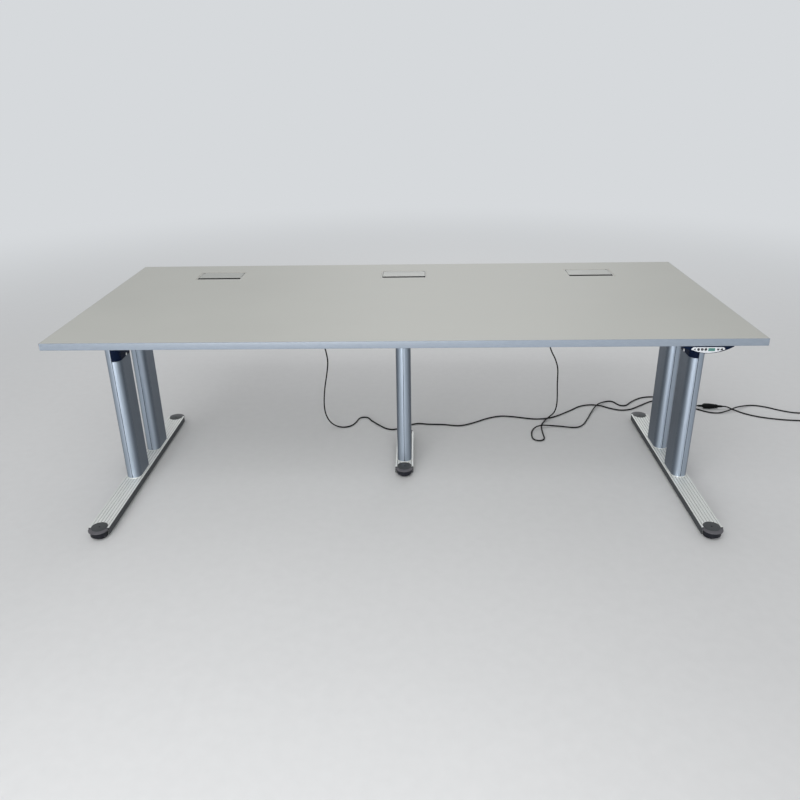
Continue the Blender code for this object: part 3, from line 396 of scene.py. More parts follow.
def mesh_of(points: Iterable[Point], faces: Iterable[Sequence[int]]) -> Mesh:
    """Build a mesh, merge its double points and turn its faces outwards.

    Args:
        points: corner places.
        faces: corner numbers of each face.

    Returns:
        The mesh.
    """
    mesh = bpy.data.meshes.new("piece")
    mesh.from_pydata([tuple(p) for p in points], [], list(faces))
    work = bmesh.new()
    work.from_mesh(mesh)
    bmesh.ops.remove_doubles(work, verts=work.verts, dist=1e-7)
    bmesh.ops.recalc_face_normals(work, faces=work.faces)
    work.to_mesh(mesh)
    work.free()
    return mesh


def loft(rings: Sequence[Sequence[Point]], closed: bool = False) -> Mesh:
    """Skin a row of rings that have equal counts of points.

    Args:
        rings: closed rings of points.
        closed: True joins the last ring to the first; otherwise both ends are filled.

    Returns:
        The mesh.
    """
    count = len(rings[0])
    points = [point for ring in rings for point in ring]
    faces: list[Sequence[int]] = []
    for row in range(len(rings) if closed else len(rings) - 1):
        low, high = row * count, (row + 1) % len(rings) * count
        faces += [(low + i, low + (i + 1) % count, high + (i + 1) % count, high + i) for i in range(count)]
    if not closed:
        faces += [tuple(range(count)), tuple(range(len(points) - count, len(points)))]
    return mesh_of(points, faces)


def stacked(rings: Iterable[tuple[Plan, float]], closed: bool = False) -> Mesh:
    """Return the skin over plans in X and Y, from (plan, height) pairs."""
    return loft([[(x, y, z) for x, y in plan] for plan, z in rings], closed)


def upright(rings: Iterable[tuple[Plan, float]], closed: bool = False) -> Mesh:
    """Return the skin over outlines in X and Z, from (outline, Y) pairs."""
    return loft([[(x, y, z) for x, z in plan] for plan, y in rings], closed)


def prism(plan: Plan, near: float, far: float) -> Mesh:
    """Return an outline in X and Z drawn out along Y."""
    return upright([(plan, near), (plan, far)])


def circle(radius: float, z: float, steps: int) -> list[Point]:
    """Return a ring of points round the Z axis."""
    angles = [2 * pi * i / steps for i in range(steps)]
    return [(radius * cos(a), radius * sin(a), z) for a in angles]


def turned(profile: Sequence[Pair], steps: int = 32, closed: bool = False) -> Mesh:
    """Return a solid of revolution about Z from (radius, height) pairs, bottom to top."""
    return loft([circle(radius, z, steps) for radius, z in profile], closed)


def rounded_plan(width: float, depth: float, radius: float, steps: int = 5,
                 middle: Pair = (0.0, 0.0)) -> Plan:
    """Return a rectangle with rounded corners.

    Args:
        width: size along the first axis.
        depth: size along the second axis.
        radius: corner radius.
        steps: spans in each corner.
        middle: middle of the rectangle.

    Returns:
        Points anticlockwise, steps + 1 for each corner.
    """
    points = []
    for quarter, (a, b) in enumerate(((1, 1), (-1, 1), (-1, -1), (1, -1))):
        for i in range(steps + 1):
            angle = pi / 2 * (quarter + i / steps)
            points.append((middle[0] + a * (width / 2 - radius) + radius * cos(angle),
                           middle[1] + b * (depth / 2 - radius) + radius * sin(angle)))
    return points


def block(low: Point, high: Point) -> Mesh:
    """Return a box between two corners, for cutting."""
    plan = [(high[0], low[1]), (high[0], high[1]), (low[0], high[1]), (low[0], low[1])]
    return stacked([(plan, low[2]), (plan, high[2])])


def moved(mesh: Mesh, matrix: Matrix) -> Mesh:
    """Return the mesh after a transform, its faces still outwards.

    Args:
        mesh: mesh to move.
        matrix: the transform.

    Returns:
        The same mesh.
    """
    mesh.transform(matrix)
    if matrix.determinant() < 0:
        mesh.flip_normals()
    return mesh


def shifted(mesh: Mesh, x: float = 0.0, y: float = 0.0, z: float = 0.0) -> Mesh:
    """Return the mesh moved by the given distances."""
    return moved(mesh, Matrix.Translation((x, y, z)))


def along_x(mesh: Mesh) -> Mesh:
    """Turn a mesh drawn along Z to run along X, its own X to +Y and its Y to +Z."""
    return moved(mesh, Matrix(((0, 0, 1, 0), (1, 0, 0, 0), (0, 1, 0, 0), (0, 0, 0, 1))))


def along_y(mesh: Mesh) -> Mesh:
    """Turn a mesh drawn along Z to run along -Y, its own Y to +Z."""
    return moved(mesh, Matrix.Rotation(pi / 2, 4, "X"))


def linked(name: str, data: bpy.types.ID) -> Piece:
    """Return a new object of the scene with the given data.

    Args:
        name: name of the object.
        data: its mesh, lamp, camera or text.

    Returns:
        The object.
    """
    item = bpy.data.objects.new(name, data)
    bpy.context.scene.collection.objects.link(item)
    return item


def baked(item: Piece, *helpers: Piece) -> Mesh:
    """Return an object's final shape as a plain mesh and remove the object and its helpers.

    Args:
        item: object to turn into a mesh.
        helpers: objects that its modifiers used.

    Returns:
        The mesh.
    """
    graph = bpy.context.evaluated_depsgraph_get()
    mesh = bpy.data.meshes.new_from_object(item.evaluated_get(graph))
    for used in (item, *helpers):
        bpy.data.objects.remove(used, do_unlink=True)
    return mesh


def cut(mesh: Mesh, tool: Mesh) -> Mesh:
    """Return the mesh with the tool's shape taken away.

    Args:
        mesh: mesh to cut.
        tool: closed mesh that cuts it.

    Returns:
        A new mesh.
    """
    base, helper = linked("work", mesh), linked("tool", tool)
    change = base.modifiers.new("cut", "BOOLEAN")
    change.operation = "DIFFERENCE"
    change.object = helper
    change.use_self = True
    return baked(base, helper)


def joined(meshes: Sequence[Mesh]) -> Mesh:
    """Return one mesh with the faces and the finishes of several.

    Args:
        meshes: meshes to join; a slot that a node tree left empty has no faces.

    Returns:
        The joined mesh.
    """
    result = bpy.data.meshes.new("piece")
    work = bmesh.new()
    for mesh in meshes:
        numbers = []
        for material in mesh.materials:
            if material and material.name not in result.materials:
                result.materials.append(material)
            numbers.append(result.materials.find(material.name) if material else 0)
        first = len(work.faces)
        work.from_mesh(mesh)
        work.faces.ensure_lookup_table()
        for face in work.faces[first:]:
            face.material_index = numbers[face.material_index] if numbers else 0
    work.to_mesh(result)
    work.free()
    return result


def painted(mesh: Mesh, finish: Finish, *others: tuple[Finish, Callable[[Face], bool]]) -> Mesh:
    """Give a mesh its finish.

    Args:
        mesh: mesh to paint.
        finish: finish of its faces.
        others: finishes of some faces, each with the test that picks them.

    Returns:
        The same mesh.
    """
    mesh.materials.clear()
    for coat in (finish, *(other for other, _ in others)):
        mesh.materials.append(coat.material())
    for face in mesh.polygons:
        face.material_index = next((i for i, (_, test) in enumerate(others, 1) if test(face)), 0)
    return mesh


def add_piece(name: str, mesh: Mesh, finish: Finish, body: str, *replaces: str) -> Piece:
    """Put a mesh into the scene as one piece that rides on a body.

    Args:
        name: name of the piece.
        mesh: its mesh, in place.
        finish: its finish where the mesh has none yet.
        body: body that carries it.
        replaces: CAD nodes that it stands for.

    Returns:
        The new object.
    """
    if not mesh.materials:
        painted(mesh, finish)
    mesh.shade_smooth()
    mesh.set_sharp_from_angle(angle=SMOOTH_ANGLE)
    piece = linked(name, mesh)
    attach(piece, str(body))
    if replaces:
        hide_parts(*replaces)
    LOG.info("%s: %d faces on %s", name, len(mesh.polygons), body)
    return piece


def new_tree(name: str, inputs: dict[str, str]) -> tuple[Tree, bpy.types.NodeOutputs]:
    """Start a geometry node tree.

    Args:
        name: name of the tree.
        inputs: names and socket types of its inputs after the geometry and the finish.

    Returns:
        The tree and the sockets that give its inputs.
    """
    tree = bpy.data.node_groups.new(name, "GeometryNodeTree")
    sockets = {"Geometry": "NodeSocketGeometry", "Finish": "NodeSocketMaterial", **inputs}
    for label, kind in sockets.items():
        tree.interface.new_socket(label, in_out="INPUT", socket_type=kind)
    tree.interface.new_socket("Geometry", in_out="OUTPUT", socket_type="NodeSocketGeometry")
    return tree, add_node(tree, "NodeGroupInput").outputs


def grown(mesh: Mesh, tree: Tree, shape: Node, values: dict[str, Any]) -> Mesh:
    """Close a geometry node tree on its last shape and run it on a mesh.

    Args:
        mesh: mesh that the tree starts from.
        tree: the tree.
        shape: node whose instances are made real and take the finish.
        values: values of the tree's inputs by name; "Finish" is a material.

    Returns:
        The result as a plain mesh.
    """
    real = add_node(tree, "GeometryNodeRealizeInstances", inputs={"Geometry": shape})
    finish = tree.nodes["Group Input"].outputs["Finish"]
    dressed = add_node(tree, "GeometryNodeSetMaterial", inputs={"Geometry": real, "Material": finish})
    add_node(tree, "NodeGroupOutput", inputs={0: dressed})
    item = linked("seed", mesh)
    change = item.modifiers.new("grow", "NODES")
    change.node_group = tree
    for socket in tree.interface.items_tree:
        if socket.in_out == "INPUT" and socket.name in values:
            change[socket.identifier] = values[socket.name]
    return baked(item)


@dataclass
class SocketScrews:
    """A set of round-headed screws with a hexagon socket, on one body."""

    name: str
    body: Body
    finish: Finish
    places: list[tuple[Point, Point]]       # foot of each head and the way it faces
    head_radius: float
    head_height: float
    head_sides: int = 18
    socket_sides: int = 6

    def build(self) -> None:
        """Add the screws as one piece: one on each point, along the point's axis."""
        tree, given = new_tree("socket_screws", {
            "Head radius": "NodeSocketFloat", "Head height": "NodeSocketFloat"})
        radius, height = given["Head radius"], given["Head height"]
        half = add_node(tree, "ShaderNodeMath", {"operation": "MULTIPLY"}, {0: height, 1: 0.5})
        socket = add_node(tree, "ShaderNodeMath", {"operation": "MULTIPLY"}, {0: radius, 1: 0.5})
        parts = []
        for sides, size, middle in ((self.head_sides, radius, half), (self.socket_sides, socket, height)):
            shape = add_node(tree, "GeometryNodeMeshCylinder", inputs={
                "Vertices": sides, "Radius": size, "Depth": height})
            lift = add_node(tree, "ShaderNodeCombineXYZ", inputs={"Z": middle})
            parts.append(add_node(tree, "GeometryNodeTransform", inputs={
                "Geometry": shape, "Translation": lift}))
        screw = add_node(tree, "GeometryNodeMeshBoolean", {"operation": "DIFFERENCE"},
                         {"Mesh 1": parts[0], "Mesh 2": parts[1]})
        axis = add_node(tree, "GeometryNodeInputNamedAttribute", {"data_type": "FLOAT_VECTOR"},
                        {"Name": "axis"})
        turn = add_node(tree, "FunctionNodeAlignRotationToVector", {"axis": "Z"}, {"Vector": axis})
        rows = add_node(tree, "GeometryNodeInstanceOnPoints", inputs={
            "Points": given["Geometry"], "Instance": screw, "Rotation": turn})
        mesh = bpy.data.meshes.new("points")
        mesh.from_pydata([tuple(place) for place, _ in self.places], [], [])
        axes = mesh.attributes.new("axis", "FLOAT_VECTOR", "POINT")
        for item, (_, way) in zip(axes.data, self.places):
            item.vector = way
        screws = grown(mesh, tree, rows, {
            "Head radius": self.head_radius, "Head height": self.head_height,
            "Finish": self.finish.material()})
        add_piece(self.name, screws, self.finish, self.body)


@dataclass(frozen=True)
class Lamp:
    """A soft rectangular lamp that the camera doesn't see."""

    name: str
    place: Point
    target: Point
    size: Pair
    power: float
    spread: float = 180.0       # degrees

    def build(self) -> None:
        """Add the lamp, turned to its target."""
        data = bpy.data.lights.new(self.name, "AREA")
        data.shape = "RECTANGLE"
        data.size, data.size_y = self.size
        data.energy = self.power
        data.spread = radians(self.spread)
        lamp = linked(self.name, data)
        lamp.location = self.place
        ahead = Vector(self.target) - Vector(self.place)
        lamp.rotation_euler = ahead.to_track_quat("-Z", "Y").to_euler()
        lamp.visible_camera = False


@dataclass
class Studio:
    """Pale floor, soft lamps and a plain world."""

    lamps: tuple[Lamp, ...] = (
        Lamp("key_lamp", (-0.6, -3.6, 4.0), (0.0, 0.0, 0.45), (5.0, 2.6), 130.0),
        Lamp("front_lamp", (-0.9, -3.9, 0.75), (0.1, 0.0, 0.42), (2.6, 0.8), 21.0, 80.0),
        Lamp("back_lamp", (0.4, 3.6, 3.2), (0.0, 0.0, 0.4), (2.8, 2.8), 50.0),
    )
    world_colour: str = "#D6D9DC"
    world_light: float = 0.42
    floor_radius: float = 60.0
    floor_sides: int = 96
    fade: Pair = (1.0, 7.0)      # distances over which the floor turns into the backdrop

    def build(self) -> None:
        """Add the floor, the world and the lamps."""
        bpy.context.scene.view_settings.view_transform = "Standard"
        self.add_floor()
        self.add_world()
        for lamp in self.lamps:
            lamp.build()

    @staticmethod
    def seen(tree: Tree) -> Node:
        """Return a node that is 1 for rays that show a surface and 0 for those that light it.

        Args:
            tree: nodes of a material or a world.

        Returns:
            The node.
        """
        rays = add_node(tree, "ShaderNodeLightPath")
        seen = add_node(tree, "ShaderNodeMath", {"operation": "MAXIMUM"},
                        {0: rays.outputs["Is Camera Ray"], 1: rays.outputs["Is Glossy Ray"]})
        return add_node(tree, "ShaderNodeMath", {"operation": "MAXIMUM"},
                        {0: seen, 1: rays.outputs["Is Transmission Ray"]})

    def add_floor(self) -> None:
        """Add a round pale floor that fades into the backdrop far from the desk."""
        mesh = bpy.data.meshes.new("floor")
        mesh.from_pydata(circle(self.floor_radius, 0.0, self.floor_sides), [],
                         [tuple(range(self.floor_sides))])
        material = STAGE.material()
        mesh.materials.append(material)
        tree = material.node_tree
        coords = add_node(tree, "ShaderNodeTexCoord")
        reach = add_node(tree, "ShaderNodeVectorMath", {"operation": "LENGTH"},
                         {0: coords.outputs["Object"]})
        share = add_node(tree, "ShaderNodeMapRange", {"interpolation_type": "SMOOTHSTEP"}, {
            "Value": reach.outputs["Value"], "From Min": self.fade[0], "From Max": self.fade[1]})
        far = add_node(tree, "ShaderNodeEmission", inputs={"Color": linear(self.world_colour)})
        amount = add_node(tree, "ShaderNodeMath", {"operation": "MULTIPLY"}, {0: share, 1: self.seen(tree)})
        mix = add_node(tree, "ShaderNodeMixShader", inputs={
            0: amount, 1: tree.nodes["Principled BSDF"], 2: far})
        tree.links.new(mix.outputs[0], tree.nodes["Material Output"].inputs["Surface"])
        linked("floor", mesh)

    def add_world(self) -> None:
        """Add a world that looks pale and lights softly."""
        world = bpy.data.worlds.new("studio")
        world.use_nodes = True
        bpy.context.scene.world = world
        tree = world.node_tree
        shown = tree.nodes["Background"]
        shown.inputs["Color"].default_value = linear(self.world_colour)
        light = add_node(tree, "ShaderNodeBackground", inputs={
            "Color": linear("#FFFFFF"), "Strength": self.world_light})
        mix = add_node(tree, "ShaderNodeMixShader", inputs={0: self.seen(tree), 1: light, 2: shown})
        tree.links.new(mix.outputs[0], tree.nodes["World Output"].inputs["Surface"])


@dataclass
class Viewpoint:
    """Camera at the photograph's viewing angle."""

    place: Point = (0.06164, -2.80799, 1.54031)
    heading: float = 1.578      # degrees to the left
    tilt: float = 23.70         # degrees downwards
    roll: float = -0.933
    lens: float = 33.53         # millimetres, like the sensor
    sensor: float = 36.0

    def build(self) -> None:
        """Add the camera and make it the scene's own."""
        data = bpy.data.cameras.new("camera")
        data.lens = self.lens
        data.sensor_width = self.sensor
        camera = linked("camera", data)
        turn = Matrix.Identity(4)
        for angle, axis in ((self.heading, "Z"), (90 - self.tilt, "X"), (self.roll, "Z")):
            turn = turn @ Matrix.Rotation(radians(angle), 4, axis)
        camera.matrix_world = Matrix.Translation(self.place) @ turn
        bpy.context.scene.camera = camera


@dataclass
class DeskTop:
    """Laminated board with rebated openings, and the band round its edge."""

    length: float = 2.400
    depth: float = 1.070
    edge: float = 0.002             # rounding and thickness of the band
    edge_steps: int = 4
    corner: float = 0.003
    least_corner: float = 0.0004
    corner_steps: int = 6
    flap_lip: float = 0.004
    rebate: float = 0.0018

    def build(self) -> None:
        """Add the board and its band."""
        add_piece("desk_board", self.board(), LAMINATE, Body.LIFT, "desk_top")
        add_piece("edge_band", self.band(), EDGE_BAND, Body.LIFT)

    def board(self) -> Mesh:
        """Return the board as cells of full height, of rebate height or left open.

        Returns:
            The mesh.
        """
        (wide, near), (narrow, far) = [
            [size / 2 + more for size in FLAP_SIZE] for more in (GAP, -self.flap_lip)]
        xs = [-self.length / 2 + self.edge]
        for x in FLAP_X.values():
            xs += [x - wide, x - narrow, x + narrow, x + wide]
        xs.append(self.length / 2 - self.edge)
        ys = [DESK_SHIFT - self.depth / 2 + self.edge, FLAP_Y - near, FLAP_Y - far,
              FLAP_Y + far, FLAP_Y + near, DESK_SHIFT + self.depth / 2 - self.edge]
        tops: dict[tuple[int, int], float] = {}
        for i in range(len(xs) - 1):
            for j in range(len(ys) - 1):
                at_flap = i % 4 != 0 and 0 < j < len(ys) - 2
                if not (i % 4 == 2 and j == 2):
                    tops[i, j] = TOP_Z - self.rebate if at_flap else TOP_Z
        corners: list[Point] = []
        for (i, j), top in tops.items():
            x0, x1, y0, y1 = xs[i], xs[i + 1], ys[j], ys[j + 1]
            around = ((x0, y0), (x1, y0), (x1, y1), (x0, y1))
            corners += [(*a, top) for a in around]
            corners += [(*a, UNDER_Z) for a in reversed(around)]
            beside = ((i, j - 1), (i + 1, j), (i, j + 1), (i - 1, j))
            for neighbour, a, b in zip(beside, around, (*around[1:], around[0])):
                low = tops.get(neighbour, UNDER_Z)
                if low < top:
                    corners += [(*a, low), (*b, low), (*b, top), (*a, top)]
        mesh = mesh_of(corners, [tuple(range(i, i + 4)) for i in range(0, len(corners), 4)])
        return painted(mesh, LAMINATE, (RAW_BOARD, lambda face: (
            abs(face.normal.z) < UPRIGHT or UNDER_Z + self.edge < face.center.z < TOP_Z - self.edge / 4)))

    def band(self) -> Mesh:
        """Return the band: a rounded strip glued round the board.

        Returns:
            The mesh.
        """
        bend = [pi / 2 * i / self.edge_steps for i in range(self.edge_steps + 1)]
        curve = [(self.edge * (1 - sin(a)), self.edge * (1 - cos(a))) for a in bend]
        rings = [(self.loop(inset), TOP_Z - drop) for inset, drop in curve]
        rings += [(self.loop(inset), UNDER_Z + drop) for inset, drop in reversed(curve)]
        return stacked(rings, closed=True)

    def loop(self, inset: float) -> Plan:
        """Return the outline of the top, moved inwards."""
        corner = max(self.corner - inset, self.least_corner)
        return rounded_plan(self.length - 2 * inset, self.depth - 2 * inset, corner, self.corner_steps,
                            (0.0, DESK_SHIFT))


@dataclass
class CableFlap:
    """One cable flap: a frame level with the top, a shaft painted black as shade, and a hinged lid."""

    place: str
    opening: Triple = (0.0925, -0.0530, 0.0565)     # half width, front, rear
    skirt: Pair = (0.1894, 0.1174)
    flange: float = 0.0015
    reach: float = 0.045
    arris: float = 0.0009
    corners: Triple = (0.0025, 0.0012, 0.0020)      # flange, opening, skirt
    corner_steps: int = 4
    lid_front: float = -0.0330
    lid_side: float = 0.0909
    lid_thickness: float = 0.0030
    lid_nose: float = 0.0011
    hinge_y: float = 0.0535
    hinge_drop: float = 0.0025
    hinge_play: float = 0.0002
    knuckle: float = 0.0085
    knuckle_gap: float = 0.0008

    def build(self) -> None:
        """Add the frame with its shaft, then the lid on its own body."""
        x = FLAP_X[self.place]
        frame = joined([self.frame(), *self.knuckles()])
        add_piece(f"flap_surround_{self.place}", shifted(frame, x, FLAP_Y, TOP_Z), FLAP_ABS,
                  Body.LIFT, f"flap_frame_{self.place}")
        lid = shifted(self.lid(), x, FLAP_Y + self.hinge_y, TOP_Z - self.hinge_drop)
        body = f"flap_lid_{self.place}"
        add_piece(f"flap_panel_{self.place}", lid, LID_ABS, body, body)

    def frame(self) -> Mesh:
        """Return the flange and the shaft, from the middle of the flap and the top face.

        Returns:
            The mesh.
        """
        half, front, rear = self.opening
        outer, inner, skirt = self.corners
        ease = self.arris * 0.3
        width, depth = FLAP_SIZE
        rings = []
        for grow, z in ((0.0, -self.flange), (0.0, -self.arris), (-ease, -ease), (-self.arris, 0.0)):
            plan = rounded_plan(width + 2 * grow, depth + 2 * grow, outer + grow, self.corner_steps)
            rings.append((plan, z))
        for grow, z in ((self.arris, 0.0), (ease, -ease), (0.0, -self.arris), (0.0, -self.flange),
                        (0.0, -self.reach)):
            plan = rounded_plan(2 * (half + grow), rear - front + 2 * grow, inner + grow,
                                self.corner_steps, (0.0, (front + rear) / 2))
            rings.append((plan, z))
        plan = rounded_plan(*self.skirt, skirt, self.corner_steps)
        mesh = stacked([*rings, (plan, -self.reach), (plan, -self.flange)], closed=True)
        # The shaft below the flange's arris is painted black, as painted shade.
        return painted(mesh, FLAP_ABS, (SHAFT_SHADE_ABS, lambda face: face.center.z < -self.arris))

    def knuckles(self) -> list[Mesh]:
        """Return the two hinge knuckles on the frame, beside the lid's bead.

        Returns:
            The left and the right knuckle.
        """
        radius = self.hinge_drop - self.hinge_play
        start, end = self.lid_side - self.knuckle + self.knuckle_gap, self.opening[0]
        profile = [(radius * 0.8, start), (radius, start + 2 * self.hinge_play), (radius, end)]
        right, left = (shifted(along_x(turned(profile, 20)), y=self.hinge_y, z=-self.hinge_drop)
                       for _ in range(2))
        return [painted(moved(left, MIRROR), SHAFT_SHADE_ABS), painted(right, SHAFT_SHADE_ABS)]

    def lid(self) -> Mesh:
        """Return the lid from its hinge axis: a plate with a bead between two notches.

        Returns:
            The mesh.
        """
        front = self.lid_front - self.hinge_y
        bead, under = self.hinge_drop, self.hinge_drop - self.lid_thickness
        shares = [i / 8 for i in range(9)]
        round_back = [(bead * sin(pi * t), bead * cos(pi * t)) for t in shares]
        flat_back = [(-bead * 1.6, bead - (bead - under) * t) for t in shares]
        nose = self.lid_nose
        tip = [(front + nose * 0.4, under), (front, under + nose * 0.4), (front, bead - nose),
               (front + nose * 0.3, bead - nose * 0.3), (front + nose, bead)]
        full = [*round_back, (-bead, -bead), (-bead, under), *tip]
        notched = [*flat_back, (-bead * 1.7, under), (-bead * 1.8, under), *tip]
        side, step = self.lid_side, self.lid_side - self.knuckle
        lid = along_x(stacked([(notched, -side), (notched, -step), (full, -step), (full, step),
                               (notched, step), (notched, side)]))
        # The lid's front edge is painted black: painted shade that darkens the slot in front of it.
        return painted(lid, LID_ABS, (SHAFT_SHADE_ABS, lambda face: face.normal.y < -0.6))


@dataclass(frozen=True)
class OvalProfile:
    """Plan of the columns: two flat sides between two round noses, grooved where they meet."""

    width: float = 0.059
    depth: float = 0.136
    rise: float = 0.027
    nose_steps: int = 20
    groove: float = 0.0022
    edge_groove: float = 0.0018
    groove_cut: float = 0.0014

    @property
    def radius(self) -> float:
        """Radius of the noses."""
        return ((self.width / 2) ** 2 + self.rise ** 2) / (2 * self.rise)

    @property
    def centre(self) -> float:
        """Distance of a nose's centre from the middle."""
        return self.depth / 2 - self.radius

    @property
    def lip_turn(self) -> float:
        """Sine of the turn of a nose's last point, beside the edge groove."""
        return sin(asin(self.width / 2 / self.radius) - self.edge_groove / 2 / self.radius)

    def reach(self, x: float, y: float) -> float:
        """Return a place's distance from the centre of its nose, or from the middle plane."""
        return hypot(x, max(abs(y) - self.centre, 0.0))

    def outline(self, inset: float = 0.0, groove_cut: float = 0.0) -> Plan:
        """Return plan points from the front nose round +X.

        Args:
            inset: distance inwards from the outside.
            groove_cut: depth of the grooves.

        Returns:
            Points in equal number for every inset.
        """
        half = self.width / 2 - inset
        radius = self.radius - inset
        lip = self.groove / 2
        first, edge = asin(lip / radius), asin(half / radius)
        last = edge - self.edge_groove / 2 / radius
        edge_y = self.centre + radius * cos(edge)
        crown = self.centre + radius * cos(first)
        quarter = [(lip * 0.4, crown - groove_cut), (lip * 0.9, crown - groove_cut * 0.8),
                   (lip, crown - groove_cut * 0.25)]
        for step in range(self.nose_steps + 1):
            angle = first + (last - first) * step / self.nose_steps
            quarter.append((radius * sin(angle), self.centre + radius * cos(angle)))
        quarter += [(half - groove_cut * sin(edge), edge_y - groove_cut * cos(edge)),
                    (half, edge_y - self.edge_groove / 2)]
        back = quarter[::-1]
        return ([(x, -y) for x, y in quarter] + back
                + [(-x, y) for x, y in quarter] + [(-x, -y) for x, y in back])


@dataclass(frozen=True)
class ColumnPlace:
    """Where a column stands, which side faces the middle and whether it is driven."""

    name: str
    leg: str
    x: float
    y: float
    driven: bool

    @property
    def inner(self) -> int:
        """Sign of the side with the lower rim."""
        return -1 if self.x > 0 else 1


COLUMNS = (
    ColumnPlace("left_front", "left", -LEG_X, -0.10745, True),
    ColumnPlace("left_rear", "left", -LEG_X, 0.13765, False),
    ColumnPlace("centre", "centre", 0.0, 0.02655, True),
    ColumnPlace("right_front", "right", LEG_X, -0.10745, True),
    ColumnPlace("right_rear", "right", LEG_X, 0.13765, False),
)


@dataclass
class Columns:
    """The five telescoping columns: fixed profiles and the tubes that slide in them."""

    profile: OvalProfile = OvalProfile()
    wall: float = 0.003
    tube_inset: float = 0.0038
    tube_wall: float = 0.0025
    tube_bottom: float = 0.060
    arris: float = 0.0005
    screw_rise: float = 0.0085
    screw_sink: float = 0.0010
    screw_head: Pair = (0.0032, 0.0009)
    trim: float = 0.0016            # collar round the bottom of a column
    trim_height: float = 0.0026
    lip_highlight_share: float = 0.62         # tone of the lip beside each edge groove, a painted highlight
    lip_near: float = 0.002         # a turn this near to the lip's counts as the lip
    groove_share: Pair = (0.3, 1.2)  # depths of a groove's faces, in cuts

    def build(self) -> None:
        """Add the columns, the tubes and the screw at the foot of each front groove."""
        screws = []
        for place in COLUMNS:
            column = shifted(self.column(place.inner), place.x, place.y)
            add_piece(f"column_profile_{place.name}", column, ANODISED, Body.BASE,
                      f"lower_column_{place.name}")
            top = RIM_Z if place.driven else FRAME_BOTTOM - GAP
            add_piece(f"sliding_tube_{place.name}", shifted(self.tube(top), place.x, place.y), CHROMED,
                      Body.LIFT, f"inner_tube_{place.name}")
            nose = place.y - self.profile.depth / 2 + self.screw_sink
            screws.append(((place.x, nose, FOOT_TOP + self.screw_rise), (0.0, -1.0, 0.0)))
        SocketScrews("column_foot_screws", Body.BASE, BLACKED, screws, *self.screw_head).build()

    def column(self, inner: int) -> Mesh:
        """Return a fixed column whose inner half ends lower than its outer half.

        Args:
            inner: sign of the side with the lower rim.

        Returns:
            The mesh.
        """
        low, high = FOOT_TOP + GAP, OUTER_RIM_Z
        grooved = self.profile.groove_cut
        outside = self.profile.outline(0.0, grooved)
        eased = self.profile.outline(self.arris, grooved)
        inside = self.profile.outline(self.wall)
        collar, brow = self.profile.outline(-self.trim), self.profile.outline(-self.trim * 0.6)
        ledge = low + self.trim_height
        mesh = stacked([(collar, low), (collar, ledge - self.trim * 0.4), (brow, ledge), (outside, ledge),
                        (outside, high - self.arris), (eased, high), (inside, high), (inside, low)],
                       closed=True)
        reach = self.profile.depth
        window = block((-self.profile.groove / 2, -reach, RIM_Z), (reach, reach, high + reach))
        mesh = cut(mesh, window if inner > 0 else moved(window, MIRROR))
        # flat_share darkens the flats as painted shade; the lip by each edge groove gets a lower share, a
        # painted highlight.
        shares = mesh.attributes.new(FLAT_SHARE, "FLOAT", "POINT")
        for vertex, share in zip(mesh.vertices, shares.data):
            x, y, _ = vertex.co
            turn = abs(x) / self.profile.reach(x, y)
            at_lip = abs(turn - self.profile.lip_turn) < self.lip_near
            share.value = self.lip_highlight_share if at_lip else turn
        # The grooves are painted darker, as painted shade.
        return painted(mesh, ANODISED, (RAIL, lambda face: face.center.z < ledge), (COLUMN_GROOVE_SHADE, self.in_groove))

    def in_groove(self, face: Face) -> bool:
        """Tell whether an upright face lies below the plain outline, in a groove."""
        depth = (self.profile.radius - self.profile.reach(*face.center[:2])) / self.profile.groove_cut
        return abs(face.normal.z) < UPRIGHT and self.groove_share[0] < depth < self.groove_share[1]

    def tube(self, top: float) -> Mesh:
        """Return a sliding tube that ends at the given height.

        Args:
            top: height of its upper end.

        Returns:
            The mesh.
        """
        outside, eased, inside = (self.profile.outline(self.tube_inset + more)
                                  for more in (0.0, self.arris, self.tube_wall))
        bottom, arris = self.tube_bottom, self.arris
        return stacked([(eased, bottom), (outside, bottom + arris), (outside, top - arris), (eased, top),
                        (inside, top), (inside, bottom)], closed=True)


